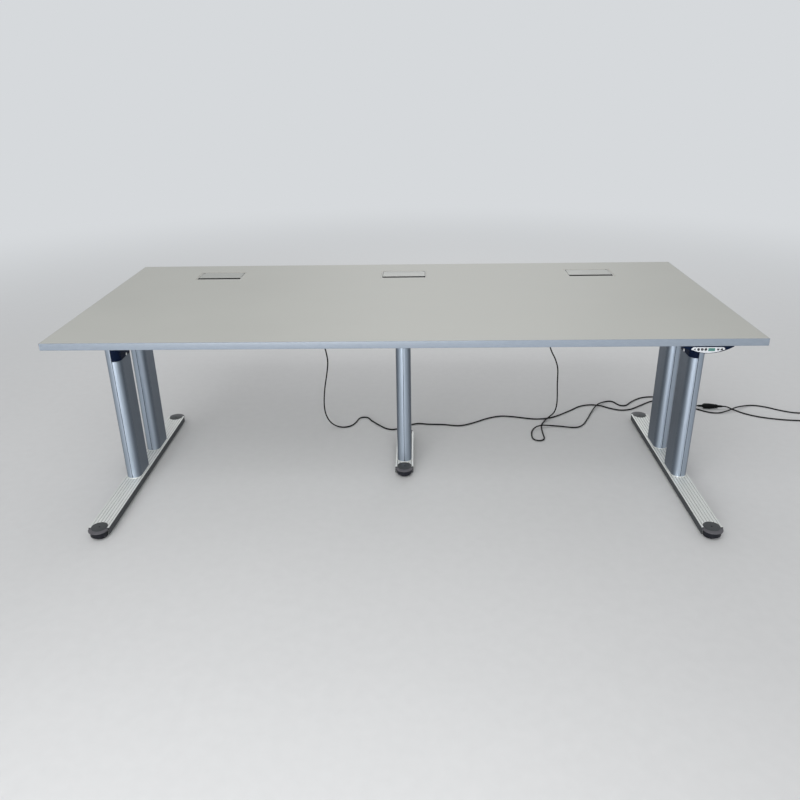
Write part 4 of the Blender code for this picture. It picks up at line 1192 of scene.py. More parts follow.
@dataclass
class Drives:
    """Motor heads on the driven columns, with their spindles."""

    profile: OvalProfile = OvalProfile()
    slim: float = 0.0038
    spigot: float = 0.0066
    spigot_length: float = 0.030
    edges: Pair = (0.0006, 0.0010)           # rounding at the bottom and the top
    rib_count: int = 8
    rib_pitch: float = 0.008
    rib_cut: float = 0.0014
    rib_start: float = 0.006
    rib_steps: int = 8
    seam_rise: float = 0.012        # seam above the last rib
    seam: tuple[Pair, ...] = (
        (-0.0008, 0.0), (-0.0005, 0.0007), (0.0005, 0.0007), (0.0008, 0.0))     # height and depth
    screws: tuple[Pair, ...] = ((0.0075, 0.0065), (0.0075, 0.112), (-0.028, 0.112))
    screw_head: Pair = (0.0052, 0.0016)
    spindle_radius: float = 0.008
    spindle_core: float = 0.0064
    collar: Pair = (0.015, 0.014)
    spindle_bottom: float = 0.075
    spindle_edges: Pair = (0.0015, 0.001)    # chamfers of the tip and the collar
    lead: float = 0.016             # rise for each turn
    starts: int = 4                 # threads side by side
    thread_steps: int = 20          # points on each turn
    thread_sides: int = 6

    def build(self) -> None:
        """Add a head, its screws and a spindle for each driven column."""
        screws = []
        for place in (column for column in COLUMNS if column.driven):
            head = shifted(self.head(place.inner), place.x, place.y)
            add_piece(f"drive_head_{place.leg}", head, DRIVE_PA, Body.LIFT, f"motor_housing_{place.leg}")
            side = place.x + place.inner * self.profile.width / 2
            screws += [((side, place.y + y, RIM_Z + z), (place.inner, 0.0, 0.0)) for y, z in self.screws]
            body = f"spindle_{place.leg}"
            spindle = shifted(self.spindle(), place.x, place.y)
            add_piece(f"lifting_{body}", spindle, SPINDLE_STEEL, body, body)
        SocketScrews("drive_head_screws", Body.LIFT, WHITE_ZINC, screws, *self.screw_head).build()

    def rib_share(self, rise: float) -> float:
        """Return how deep the ribs are cut at a height above the head's bottom, from 0 to 1.

        Args:
            rise: height above the head's bottom.

        Returns:
            A share from 0 to 1.
        """
        along = (rise - self.rib_start) / self.rib_pitch
        if not 0.0 < along < self.rib_count:
            return 0.0
        wave = 0.5 - 0.5 * cos(2 * pi * along)
        return wave * wave * (3 - 2 * wave)

    def ring(self, inner: int, rib: float = 0.0, all_round: float = 0.0) -> Plan:
        """Return the plan of a head: slim in the outer half, full in the inner half.

        Args:
            inner: sign of the side that shows.
            rib: depth of a rib's groove on the front nose.
            all_round: distance inwards of the whole inner half.

        Returns:
            As many points as the profile has.
        """
        depths = (self.slim, 0.0, max(rib, all_round), all_round)
        plan = []
        for thin, wide, deep, shallow in zip(*(self.profile.outline(depth) for depth in depths)):
            shown = deep if wide[1] < -self.profile.centre else shallow
            plan.append(shown if wide[0] * inner > 0 else thin)
        return plan

    def head(self, inner: int) -> Mesh:
        """Return a head: spigot in the tube, full profile on the inner half, ribs on its nose.

        Args:
            inner: sign of the side that shows.

        Returns:
            The mesh.
        """
        bottom, top = RIM_Z + GAP, FRAME_BOTTOM - GAP
        low, high = self.edges
        spigot = self.profile.outline(self.spigot)
        rings = [(spigot, bottom - self.spigot_length), (spigot, bottom),
                 (self.ring(inner, 0.0, low), bottom), (self.ring(inner), bottom + low)]
        for i in range(self.rib_count * self.rib_steps + 1):
            rise = self.rib_start + i * self.rib_pitch / self.rib_steps
            rings.append((self.ring(inner, self.rib_cut * self.rib_share(rise)), bottom + rise))
        seam = bottom + self.rib_start + self.rib_count * self.rib_pitch + self.seam_rise
        rings += [(self.ring(inner, 0.0, depth), seam + z) for z, depth in self.seam]
        return stacked([*rings, (self.ring(inner), top - high), (self.ring(inner, 0.0, high), top)])

    def spindle(self) -> Mesh:
        """Return a threaded spindle with its bearing collar, grown by Geometry Nodes.

        Returns:
            The mesh.
        """
        tree, given = new_tree("spindle_thread", {
            "Length": "NodeSocketFloat", "Turns": "NodeSocketFloat", "Radius": "NodeSocketFloat",
            "Ridge": "NodeSocketFloat", "Starts": "NodeSocketInt"})
        helix = add_node(tree, "GeometryNodeCurveSpiral", inputs={
            "Resolution": self.thread_steps, "Rotations": given["Turns"],
            "Start Radius": given["Radius"], "End Radius": given["Radius"],
            "Height": given["Length"]})
        section = add_node(tree, "GeometryNodeCurvePrimitiveCircle", inputs={
            "Resolution": self.thread_sides, "Radius": given["Ridge"]})
        ridge = add_node(tree, "GeometryNodeCurveToMesh", inputs={
            "Curve": helix, "Profile Curve": section, "Fill Caps": True})
        threads = add_node(tree, "GeometryNodeMeshLine", inputs={
            "Count": given["Starts"], "Offset": (0.0, 0.0, 0.0)})
        number = add_node(tree, "GeometryNodeInputIndex")
        share = add_node(tree, "ShaderNodeMath", {"operation": "DIVIDE"}, {0: number, 1: given["Starts"]})
        angle = add_node(tree, "ShaderNodeMath", {"operation": "MULTIPLY"}, {0: share, 1: 2 * pi})
        turn = add_node(tree, "ShaderNodeCombineXYZ", inputs={"Z": angle})
        copies = add_node(tree, "GeometryNodeInstanceOnPoints", inputs={
            "Points": threads, "Instance": ridge, "Rotation": turn})
        both = add_node(tree, "GeometryNodeJoinGeometry", inputs={0: copies})
        tree.links.new(given["Geometry"], both.inputs[0])
        radius, height = self.collar
        length = RIM_Z - self.spigot_length - height - self.spindle_bottom
        tip, brim = self.spindle_edges
        core = turned([(self.spindle_core * 0.8, 0.0), (self.spindle_core, tip),
                       (self.spindle_core, length), (radius, length), (radius, length + height - brim),
                       (radius - brim, length + height)])
        thread = self.spindle_radius - self.spindle_core
        spindle = grown(core, tree, both, {
            "Length": length - 2 * thread, "Turns": length / self.lead, "Radius": self.spindle_core,
            "Ridge": thread, "Starts": self.starts, "Finish": SPINDLE_STEEL.material()})
        return shifted(spindle, z=self.spindle_bottom)


@dataclass(frozen=True)
class FootPlace:
    """Where a foot lies: its leg and the middles of its two cap discs."""

    leg: str
    x: float
    front: float
    rear: float


FEET = (
    FootPlace("left", -LEG_X, -0.52565, 0.41885),
    FootPlace("centre", 0.0, -0.07135, 0.24395),
    FootPlace("right", LEG_X, -0.52565, 0.41885),
)


@dataclass
class Feet:
    """Ribbed rails with a toe cap and a levelling glide at each end."""

    width: float = 0.075
    wall: float = 0.003
    corner: float = 0.0022
    corner_steps: int = 5
    under_edge: float = 0.001
    grooves: int = 6
    groove_pitch: float = 0.0117
    groove_width: float = 0.0035
    groove_cut: float = 0.0015
    groove_ease: float = 0.0004
    past_hole: float = 0.0087
    seat_chamfer: float = 0.0010
    disc_radius: float = 0.0293
    disc_drop: float = 0.0016
    disc_skin: float = 0.0018
    disc_edge: float = 0.0009
    lip_drop: float = 0.004
    lip: float = 0.003
    lip_inset: float = 0.0006
    lip_start: float = 0.010        # share of the half turn left open at each end of the lip
    body_radius: float = 0.0320
    body_edge: float = 0.0008
    cap_recess: float = 0.0015
    hole: float = 0.0034
    bore: float = 0.0053
    glide_radius: float = 0.025
    glide_height: float = 0.011
    stud_radius: float = 0.005
    stud_top: float = 0.036
    stud_pitch: float = 0.0015
    steps: int = 36
    glide_steps: int = 40

    def build(self) -> None:
        """Add the rails, caps and glides."""
        for foot in FEET:
            add_piece(f"foot_rail_{foot.leg}", shifted(self.rail(foot.front, foot.rear), foot.x), RAIL,
                      Body.BASE, f"foot_{foot.leg}")
            for end, y, turn in (("front", foot.front, 0.0), ("rear", foot.rear, pi)):
                place = Matrix.Translation((foot.x, y, 0.0)) @ Matrix.Rotation(turn, 4, "Z")
                name = f"{foot.leg}_{end}"
                add_piece(f"toe_cap_{name}", moved(self.cap(), place), TOE_PA, Body.BASE,
                          f"foot_cap_{name}")
                add_piece(f"levelling_glide_{name}", moved(self.glide(), place), GLIDE_PE,
                          f"glide_{name}", f"glide_{name}")

    def outline(self) -> Plan:
        """Return the rail's section: rounded corners and grooves with eased lips.

        Returns:
            Points in X and Z.
        """
        half, edge, ease, corner = self.width / 2, self.under_edge, self.groove_ease, self.corner
        bend = [pi / 2 * i / self.corner_steps for i in range(self.corner_steps + 1)]
        points = [(-half, FOOT_BOTTOM + edge), (-half + edge, FOOT_BOTTOM), (half - edge, FOOT_BOTTOM),
                  (half, FOOT_BOTTOM + edge)]
        curve = [(half - corner + corner * cos(a), FOOT_TOP - corner + corner * sin(a)) for a in bend]
        points += curve
        lip, low = self.groove_width / 2, FOOT_TOP - self.groove_cut
        rows = ((lip + ease, FOOT_TOP), (lip, FOOT_TOP - ease), (lip - ease, low + ease),
                (lip - 2 * ease, low))
        for groove in reversed(range(self.grooves)):
            middle = (groove - (self.grooves - 1) / 2) * self.groove_pitch
            points += [(middle + x, z) for x, z in rows]
            points += [(middle - x, z) for x, z in reversed(rows)]
        return points + [(-x, z) for x, z in reversed(curve)]

    def rail(self, front: float, rear: float) -> Mesh:
        """Return a hollow rail between two cap discs, its ends hollowed to hold the caps.

        Args:
            front: middle of the front disc.
            rear: middle of the rear disc.

        Returns:
            The mesh.
        """
        outside = self.outline()
        half, deep = self.width / 2, FOOT_TOP - self.groove_cut
        middle = (FOOT_TOP + FOOT_BOTTOM) / 2
        inside = [(x * (half - self.wall) / half,
                   FOOT_BOTTOM + self.wall if z < middle else deep - self.wall) for x, z in outside]
        start, end = front - self.past_hole, rear + self.past_hole
        mesh = upright([(outside, start), (outside, end), (inside, end), (inside, start)], closed=True)
        seat, brim = self.disc_radius + GAP, self.disc_radius + GAP + self.seat_chamfer
        over = self.seat_chamfer / 5
        chamfer = [(seat, 0.0), (seat, FOOT_TOP + over - self.seat_chamfer), (brim, FOOT_TOP + over),
                   (brim, 2 * FOOT_TOP)]
        for y in (front, rear):
            mesh = cut(mesh, shifted(turned(chamfer, 2 * self.steps), y=y))
        # The rail's sides are painted dark, as painted shade.
        return painted(mesh, RAIL, (RAIL_SIDE_SHADE, lambda face: abs(face.normal.z) < 0.2), (
            # The groove floors are painted darker, as painted shade.
            RAIL_GROOVE_SHADE, lambda face: (
                face.normal.z > 0.9 and abs(face.center.z - deep) < self.groove_ease / 2)))

    def cap(self) -> Mesh:
        """Return a toe cap from its disc's middle: sunk disc, thin sloping lip and round body.

        Returns:
            The mesh.
        """
        end = -self.past_hole - GAP
        plate, bottom = FOOT_TOP - self.disc_drop, FOOT_BOTTOM + self.cap_recess
        rim, under = FOOT_TOP - self.lip_drop, FOOT_TOP - self.lip_drop - self.lip
        skin, r, edge = plate - self.disc_skin, self.disc_radius, self.disc_edge
        disc = [(self.hole, plate), (r - edge, plate), (r - edge / 3, plate - edge / 3), (r, plate - edge),
                (r, under), (self.bore, under), (self.bore, skin), (self.hole, skin)]
        parts = [painted(turned(disc, 2 * self.steps, closed=True), TOE_PA)]
        start = asin(end / r)
        outer = self.width / 2 - self.lip_inset
        # share of the way out from the disc, and height
        stations = ((0.02, plate - 0.0012), (0.5, (plate + rim) / 2), (0.94, rim + 0.0003),
                    (1.0, rim - 0.0008), (1.0, under + 0.0006), (0.95, under), (0.02, under))
        rings = []
        for i in range(self.steps + 1):
            share = self.lip_start + (1 - 2 * self.lip_start) * i / self.steps
            turn, angle = -pi * share, start - (pi + 2 * start) * share
            inner = Vector((r * cos(angle), r * sin(angle)))
            brim = Vector((outer * cos(turn), end + outer * sin(turn)))
            rings.append([(*inner.lerp(brim, t), z) for t, z in stations])
        parts.append(painted(loft(rings), LIP_PA))
        body = sqrt(r ** 2 - end ** 2)
        bend = [pi * i / self.steps for i in range(self.steps + 1)]
        rings = []
        for inset, z in ((self.body_edge, bottom), (0.0, bottom + self.body_edge), (0.0, under)):
            ahead, behind = self.body_radius - inset, body - inset
            plan = [(behind * cos(a), behind * sin(a)) for a in bend]
            plan += [(-ahead * cos(a), -ahead * sin(a)) for a in bend]
            rings.append((plan, z))
        bore = shifted(turned([(self.bore, 0.0), (self.bore, 2 * FOOT_TOP)], 24), y=-end)
        parts.append(painted(shifted(cut(stacked(rings), bore), y=end), GLIDE_PE))
        return joined(parts)

    def glide(self) -> Mesh:
        """Return a glide: a waxy disc with a grip groove round it, on a threaded stud.

        Returns:
            The mesh.
        """
        r, h, stud = self.glide_radius, self.glide_height, self.stud_radius
        # radius and height, from the floor up
        profile = [(r - 0.0032, 0.0), (r - 0.0014, 0.0006), (r - 0.0003, 0.0018), (r, 0.0030),
                   (r, 0.0048), (r - 0.0006, 0.0051), (r - 0.0006, 0.0057), (r, 0.0060), (r, h - 0.0026),
                   (r - 0.0008, h - 0.0010), (r - 0.0028, h), (stud + 0.004, h)]
        z = h
        while z < self.stud_top - 0.002:
            profile += [(stud - 0.0006, z + 0.0003), (stud, z + 0.0009)]
            z += self.stud_pitch
        profile += [(stud - 0.001, self.stud_top - 0.0005), (stud - 0.0016, self.stud_top)]
        return turned(profile, self.glide_steps)


@dataclass
class UnderFrame:
    """Arms and beams of powder-coated tube, with plugs in their ends and screws beneath."""

    width: float = 0.060
    height: float = 0.030
    wall: float = 0.0025
    corner: float = 0.0035
    side_arm: Pair = (-0.38285, 0.45715)
    centre_arm: Pair = (-0.21285, 0.28715)
    beam: Pair = (0.0303, 1.0767)
    arm_screws: tuple[float, ...] = (0.06, 0.94)                # shares of the length
    beam_screws: tuple[float, ...] = (0.03, 0.35, 0.65, 0.97)
    screw_side: float = 0.018
    screw_head: Pair = (0.0060, 0.0025)
    plug: tuple[Pair, ...] = (
        (0.020, 0.0), (0.0012, 0.0), (0.0004, 0.0003), (0.0002, 0.0008))        # depth and inset

    def build(self) -> None:
        """Add the arms, the beams and their screws."""
        middle = FRAME_TOP - self.height / 2
        screws = []
        for leg, x in (("left", -LEG_X), ("centre", 0.0), ("right", LEG_X)):
            front, rear = self.centre_arm if leg == "centre" else self.side_arm
            arm = along_y(self.bar(rear - front))
            add_piece(f"arm_tube_{leg}", shifted(arm, x, (front + rear) / 2, middle), POWDER, Body.LIFT,
                      f"arm_{leg}")
            screws += [((x + side * self.screw_side, front + (rear - front) * share, FRAME_BOTTOM), DOWN)
                       for share in self.arm_screws for side in (-1, 1)]
        start, end = self.beam
        for name, side in (("left", -1), ("right", 1)):
            beam = along_x(self.bar(end - start))
            add_piece(f"beam_tube_{name}", shifted(beam, side * (start + end) / 2, DESK_SHIFT, middle),
                      POWDER, Body.LIFT, f"beam_{name}")
            screws += [((side * (start + (end - start) * share), DESK_SHIFT, FRAME_BOTTOM), DOWN)
                       for share in self.beam_screws]
        SocketScrews("frame_screws", Body.LIFT, ZINC, screws, *self.screw_head).build()

    def bar(self, length: float) -> Mesh:
        """Return a tube along Z with a black plug in each end.

        Args:
            length: length of the tube.

        Returns:
            The mesh.
        """
        half = length / 2
        width, height = self.width - 2 * self.wall, self.height - 2 * self.wall
        corner = self.corner - self.wall / 2
        outside = rounded_plan(self.width, self.height, self.corner)
        inside = rounded_plan(width, height, corner)
        tube = stacked([(outside, -half), (outside, half), (inside, half), (inside, -half)], closed=True)
        plugs = [stacked([
            (rounded_plan(width - 2 * inset, height - 2 * inset, corner), end * (half - depth))
            for depth, inset in self.plug]) for end in (-1, 1)]
        return joined([painted(tube, POWDER), *(painted(plug, CASE_ABS) for plug in plugs)])


@dataclass(frozen=True)
class Ribs:
    """Ribs of a flexible sleeve round a lead."""

    count: int
    start: float
    pitch: float
    size: float
    taper: float                                # change of size from rib to rib
    shape: tuple[Pair, ...]      # points of one rib: change of size, place

    def profile(self) -> Plan:
        """Return pairs of size and place along the sleeve."""
        return [(self.size + self.taper * i + grow, self.start + self.pitch * i + along)
                for i in range(self.count) for grow, along in self.shape]


@dataclass
class ControlBox:
    """Power supply under the top: a ribbed case with vents and a lead relief at its right end."""

    place: str
    right_end: float
    y: float
    length: float = 0.200
    depth: float = 0.100
    height: float = 0.042
    corner: float = 0.005
    relief: float = 0.015
    relief_start: float = -0.004
    relief_over: float = 0.012      # length of the relief past the solid
    ribs: Ribs = Ribs(6, 0.003, 0.0038, 0.007, -0.0004,
                      ((0.0, 0.0), (0.0, 0.0024), (-0.0009, 0.0027), (-0.0009, 0.0036)))
    bore: float = 0.0033
    vents: int = 14
    vent_pitch: float = 0.0085
    vent_size: Triple = (0.0035, 0.0024, 0.0120)
    vent_place: Pair = (0.0014, -0.0300)         # behind the face, below the top
    screw_inset: float = 0.010
    screw_head: Pair = (0.0030, 0.0004)

    def build(self) -> None:
        """Add the case with its relief and vents, and its screws."""
        mesh = joined([painted(self.case(), CASE_ABS), painted(self.lead_relief(), MOULDED_PVC),
                       *self.vent_rows()])
        add_piece(f"power_box_{self.place}", shifted(mesh, self.right_end, self.y, FRAME_TOP), CASE_ABS,
                  Body.LIFT, f"control_box_{self.place}")
        across = self.depth / 2 - self.screw_inset
        screws = [((self.right_end - a, self.y + b, FRAME_TOP - self.height + self.screw_head[1]), DOWN)
                  for a in (self.screw_inset, self.length - self.screw_inset) for b in (-across, across)]
        SocketScrews(f"power_box_screws_{self.place}", Body.LIFT, ZINC, screws, *self.screw_head).build()

    def case(self) -> Mesh:
        """Return the case: a flange under the top, a parting groove and a rounded bottom.

        Returns:
            The mesh.
        """
        # distance inwards and height
        stations = [(0.0, 0.0), (0.0, -0.0050), (0.0006, -0.0056), (0.0016, -0.0056), (0.0016, -0.0200),
                    (0.0024, -0.0204), (0.0024, -0.0212), (0.0016, -0.0216), (0.0016, -0.0390),
                    (0.0020, -0.0405), (0.0030, -0.0415), (0.0045, -0.0420)]
        return stacked([(rounded_plan(self.length - 2 * inset, self.depth - 2 * inset,
                                      self.corner - inset / 2, 6, (-self.length / 2, 0.0)), z)
                        for inset, z in stations])

    def lead_relief(self) -> Mesh:
        """Return the ribbed sleeve that tapers along the lead, hollow past the case.

        Returns:
            The mesh.
        """
        past, start = self.relief + self.relief_over, self.relief_start
        profile = [(self.ribs.size, start), (self.ribs.size, 0.002), *self.ribs.profile(),
                   (0.0044, past), (self.bore, past), (self.bore, start)]
        return shifted(along_x(turned(profile, 28, closed=True)), z=-self.height / 2)

    def vent_rows(self) -> list[Mesh]:
        """Return raised louvres on the front and the rear, repeated by Geometry Nodes.

        Returns:
            The front and the rear row.
        """
        rows = []
        behind, below = self.vent_place
        start = -self.length / 2 - (self.vents - 1) * self.vent_pitch / 2
        for side in (-1, 1):
            tree, given = new_tree("vent_row", {
                "Count": "NodeSocketInt", "Pitch": "NodeSocketFloat", "Size": "NodeSocketVector"})
            step = add_node(tree, "ShaderNodeCombineXYZ", inputs={"X": given["Pitch"]})
            line = add_node(tree, "GeometryNodeMeshLine", inputs={"Count": given["Count"], "Offset": step})
            bar = add_node(tree, "GeometryNodeMeshCube", inputs={"Size": given["Size"]})
            row = add_node(tree, "GeometryNodeInstanceOnPoints", inputs={"Points": line, "Instance": bar})
            mesh = grown(bpy.data.meshes.new("seed"), tree, row, {
                "Count": self.vents, "Pitch": self.vent_pitch, "Size": self.vent_size,
                "Finish": CASE_ABS.material()})
            rows.append(shifted(mesh, start, side * (self.depth / 2 - behind), below))
        return rows


@dataclass(frozen=True)
class KeyMark:
    """One key: its body, its place from the middle of the handset and the mark on it."""

    body: str
    x: float
    mark: str

    @property
    def way(self) -> int:
        """Way that an arrow points: 1 is up, -1 is down and 0 is no arrow."""
        return {"up": 1, "down": -1}.get(self.mark, 0)


KEYS = (
    KeyMark("key_memory", -0.04365, "memory"),
    KeyMark("key_1", -0.03165, "1"),
    KeyMark("key_2", -0.01965, "2"),
    KeyMark("key_3", -0.00765, "3"),
    KeyMark("key_down", 0.03165, "down"),
    KeyMark("key_up", 0.04365, "up"),
)


def bow(half: float, rise: float, low: float, inset: float, steps: int) -> Plan:
    """Return an arc that sags between two ends, from right to left.

    Args:
        half: half its width.
        rise: height of its ends above its lowest point.
        low: height of its lowest point.
        inset: distance inwards from the arc.
        steps: spans along it.

    Returns:
        Points in X and Z.
    """
    radius = (half ** 2 + rise ** 2) / (2 * rise)
    sweep = asin(half / radius)
    angles = [sweep - 2 * sweep * i / steps for i in range(steps + 1)]
    return [((radius - inset) * sin(a), radius + low - (radius - inset) * cos(a)) for a in angles]


@dataclass
class Handset:
    """Half-moon handset under the front edge: shell, faceplate, display and six keys."""

    x: float = 1.0068
    face_y: float = -0.49485
    width: float = 0.167
    depth: float = 0.060
    drop: float = 0.026
    side: float = 0.003
    edge: float = 0.0016
    plate: float = 0.0005
    plate_half: float = 0.055
    plate_top: float = -0.0042
    plate_low: float = -0.0238
    plate_end: float = -0.0118
    key_z: float = -0.0115
    key_size: float = 0.0088
    key_depth: float = 0.0045
    key_proud: float = 0.0012
    key_play: float = 0.0004
    key_corner: float = 0.0028
    pocket_room: float = 0.0015     # free depth behind a key
    opening_corner: float = 0.0030
    cut_reach: float = 0.002
    digit_size: float = 0.0038
    digit_depth: float = 0.00008    # half its thickness
    print_proud: float = 0.00006
    screen: tuple[float, float, float, float] = (0.0112, -0.0123, 0.0220, 0.0104)   # middle and size
    screen_corner: float = 0.0008
    screen_play: float = 0.0004
    bar: Triple = (0.0036, 0.0066, 0.0008)  # digit's width and height, bar's width
    bar_share: float = 0.86         # size of a bar in its field
    digit_step: float = 0.0032      # each digit from the middle of the screen
    memory_mark: tuple[Pair, ...] = ((-0.0034, 0.0024), (0.0, -0.0032), (0.0034, 0.0024))
    arrow: Triple = (0.0048, -0.0026, 0.0056)       # half width, base and tip
    arrow_on_key: tuple[Pair, ...] = (           # right half, inside the key's outline
        (0.0036, -0.0026), (0.0039, -0.0020), (0.0039, -0.0011), (0.0010, 0.0039))

    def build(self) -> None:
        """Add the shell, the faceplate, the display and the keys."""
        pieces = (("handset_shell", self.shell(), CASE_ABS, ("handset_housing",)),
                  ("handset_faceplate", self.faceplate(), FOIL, ()),
                  ("handset_display", self.display(), CRYSTAL, ()))
        for name, mesh, finish, nodes in pieces:
            add_piece(name, shifted(mesh, self.x, self.face_y, FRAME_TOP), finish, Body.LIFT, *nodes)
        for key in KEYS:
            mesh = shifted(self.key(key), self.x + key.x, self.face_y, FRAME_TOP + self.key_z)
            add_piece(f"{key.body}_cap", mesh, KEY_FOIL, key.body, key.body)

    def half_moon(self, inset: float) -> Plan:
        """Return the shell's outline in X and Z, moved inwards.

        Args:
            inset: distance inwards.

        Returns:
            Points in X and Z.
        """
        half = self.width / 2
        arc = bow(half, self.drop - self.side, -self.drop, inset, 40)
        scale = (half - inset) / arc[0][0]
        ends = ((half - inset, -inset * 0.5), (-half + inset, -inset * 0.5))
        return [ends[0], *((x * scale, z) for x, z in arc), ends[1]]

    def shell(self) -> Mesh:
        """Return the shell: rounded at the face, with a pocket behind each key.

        Returns:
            The mesh.
        """
        edge = self.edge
        stations = ((edge, 0.0), (edge * 0.35, edge * 0.25), (0.0, edge), (0.0, self.depth - edge),
                    (edge, self.depth))
        mesh = upright([(self.half_moon(inset), y) for inset, y in stations])
        pocket = self.key_size / 2 + self.key_play
        depth = self.key_depth - self.key_proud + self.pocket_room
        return cut(mesh, joined([block((key.x - pocket, -depth, self.key_z - pocket),
                                       (key.x + pocket, depth, self.key_z + pocket)) for key in KEYS]))

    def boat(self, inset: float) -> Plan:
        """Return the faceplate's outline in X and Z: straight on top, bowed below.

        Args:
            inset: distance inwards.

        Returns:
            Points in X and Z.
        """
        half = self.plate_half
        shoulder = ((-half + 0.0012, self.plate_end + 0.0030), (-half + 0.0048, self.plate_top - 0.0012),
                    (-half + 0.0072, self.plate_top))
        left = [(x + inset, z - inset * 0.6) for x, z in shoulder]
        arc = bow(half, self.plate_end - self.plate_low, self.plate_low, inset, 24)
        return [*arc, *left, *((-x, z) for x, z in reversed(left))]

    def faceplate(self) -> Mesh:
        """Return the printed plate with an opening for each key and a window for the display.

        Returns:
            The mesh.
        """
        mesh = upright([(self.boat(0.0), 0.0), (self.boat(0.0), -self.plate * 0.6),
                        (self.boat(0.0003), -self.plate)])
        size = self.key_size - self.key_play / 2
        x, z, width, height = self.screen
        plans = [rounded_plan(size, size, self.opening_corner, 5, (key.x, self.key_z)) for key in KEYS]
        plans.append(rounded_plan(width, height, self.screen_corner, 4, (x, z)))
        openings = joined([prism(plan, -self.cut_reach, self.cut_reach) for plan in plans])
        half, base, tip = self.arrow
        arrows = joined([
            prism([(key.x - half, self.key_z + base * key.way), (key.x, self.key_z + tip * key.way),
                   (key.x + half, self.key_z + base * key.way)],
                  -self.plate - self.print_proud, -self.plate + 0.0001) for key in KEYS if key.way])
        return joined([painted(cut(mesh, openings), FOIL), painted(cut(arrows, openings), INK)])

    def display(self) -> Mesh:
        """Return the display window with two digits of seven bars, which show 74.

        Returns:
            The mesh.
        """
        x, z, width, height = self.screen
        play = self.screen_play
        pane = rounded_plan(width - play, height - play, self.screen_corner - play / 4, 4, (x, z))
        glass = prism(pane, -0.00025, 0.0002)
        wide, tall, thick = self.bar
        bars = [(0.0, tall / 2, wide, thick), (wide / 2, tall / 4, thick, tall / 2),
                (wide / 2, -tall / 4, thick, tall / 2), (0.0, -tall / 2, wide, thick),
                (-wide / 2, -tall / 4, thick, tall / 2), (-wide / 2, tall / 4, thick, tall / 2),
                (0.0, 0.0, wide, thick)]
        parts = [painted(glass, CRYSTAL)]
        for dark, middle in (((0, 1, 2), x - self.digit_step), ((1, 2, 5, 6), x + self.digit_step)):
            for number in dark:
                a, b, w, h = bars[number]
                size = (w * self.bar_share, h * self.bar_share)
                plan = rounded_plan(*size, thick / 4, 1, (middle + a, z + b))
                parts.append(painted(prism(plan, -0.0003, -0.00024), CRYSTAL_DARK))
        return joined(parts)

    def key(self, key: KeyMark) -> Mesh:
        """Return a domed key with its mark, from its middle in the plane of the shell's face.

        Args:
            key: the key's place and mark.

        Returns:
            The mesh.
        """
        size = self.key_size - 2 * self.key_play
        face = -self.key_proud
        # distance inwards and depth
        stations = ((0.0, self.key_depth + face), (0.0, face + 0.0005), (0.0002, face + 0.0002),
                    (0.0006, face + 0.00005), (0.0012, face))
        dome = upright([(rounded_plan(size - 2 * inset, size - 2 * inset, self.key_corner - inset, 5), y)
                        for inset, y in stations])
        near, far = face - self.print_proud, face + 0.0006
        if key.mark.isdigit():
            return joined([painted(dome, INK), painted(self.digit(key.mark, near), KEY_FOIL)])
        plan = list(self.memory_mark)
        if key.way:
            half = self.arrow_on_key
            plan = [(x * key.way, z * key.way) for x, z in (*half, *((-x, z) for x, z in reversed(half)))]
        return joined([painted(dome, KEY_FOIL), painted(prism(plan, near, far), INK)])

    def digit(self, mark: str, near: float) -> Mesh:
        """Return a digit as a thin mesh in X and Z.

        Args:
            mark: the digit.
            near: place of its front in Y.

        Returns:
            The mesh.
        """
        text = bpy.data.curves.new("digit", "FONT")
        text.body = mark
        text.size = self.digit_size
        text.align_x = "CENTER"
        text.align_y = "CENTER"
        text.extrude = self.digit_depth
        mesh = baked(linked("digit", text))
        mesh.materials.clear()
        return moved(mesh, Matrix.Translation((0.0, near + self.digit_depth, 0.0))
                     @ Matrix.Rotation(pi / 2, 4, "X"))


CORD = 0.0062
FLOOR = CORD / 2 + GAP
LEAD_EXIT_Z = FRAME_TOP - 0.021

# Routes of the leads, point by point, from the middle of the top; two numbers are a place on the floor
LEFT_ROUTE = [
    (-0.424, 0.355, LEAD_EXIT_Z), (-0.405, 0.355, 0.684), (-0.392, 0.355, 0.664), (-0.386, 0.355, 0.630),
    (-0.384, 0.355, 0.560), (-0.379, 0.355, 0.470), (-0.370, 0.355, 0.415), (-0.362, 0.355, 0.380),
    (-0.356, 0.355, 0.330), (-0.364, 0.355, 0.267), (-0.377, 0.355, 0.195), (-0.384, 0.355, 0.121),
    (-0.380, 0.354, 0.070), (-0.363, 0.352, 0.030), (-0.334, 0.346, 0.008), (-0.295, 0.338),
    (-0.262, 0.352), (-0.241, 0.391), (-0.2289, 0.4312), (-0.2180, 0.4448), (-0.2035, 0.449),
    (-0.1890, 0.4448), (-0.1801, 0.4355), (-0.165, 0.408), (-0.134, 0.367), (-0.094, 0.323),
    (-0.063, 0.311), (-0.030, 0.322), (0.027, 0.363), (0.060, 0.375), (0.103, 0.367), (0.179, 0.362),
    (0.253, 0.349), (0.315, 0.375), (0.391, 0.427), (0.456, 0.453), (0.520, 0.446), (0.621, 0.419),
    (0.690, 0.430), (0.738, 0.458), (0.807, 0.515), (0.866, 0.566), (0.920, 0.583), (0.967, 0.572),
    (1.008, 0.540), (1.052, 0.518), (1.103, 0.526), (1.165, 0.571), (1.234, 0.622), (1.284, 0.630),
    (1.336, 0.606), (1.384, 0.568), (1.450, 0.506), (1.482, 0.484), (1.518, 0.479),
    (1.570, 0.496, 0.0075), (1.613, 0.519, 0.0130), (1.668, 0.553, 0.0065), (1.717, 0.566),
    (1.770, 0.546), (1.824, 0.506), (1.872, 0.480), (1.915, 0.4725), (1.945, 0.472),
]
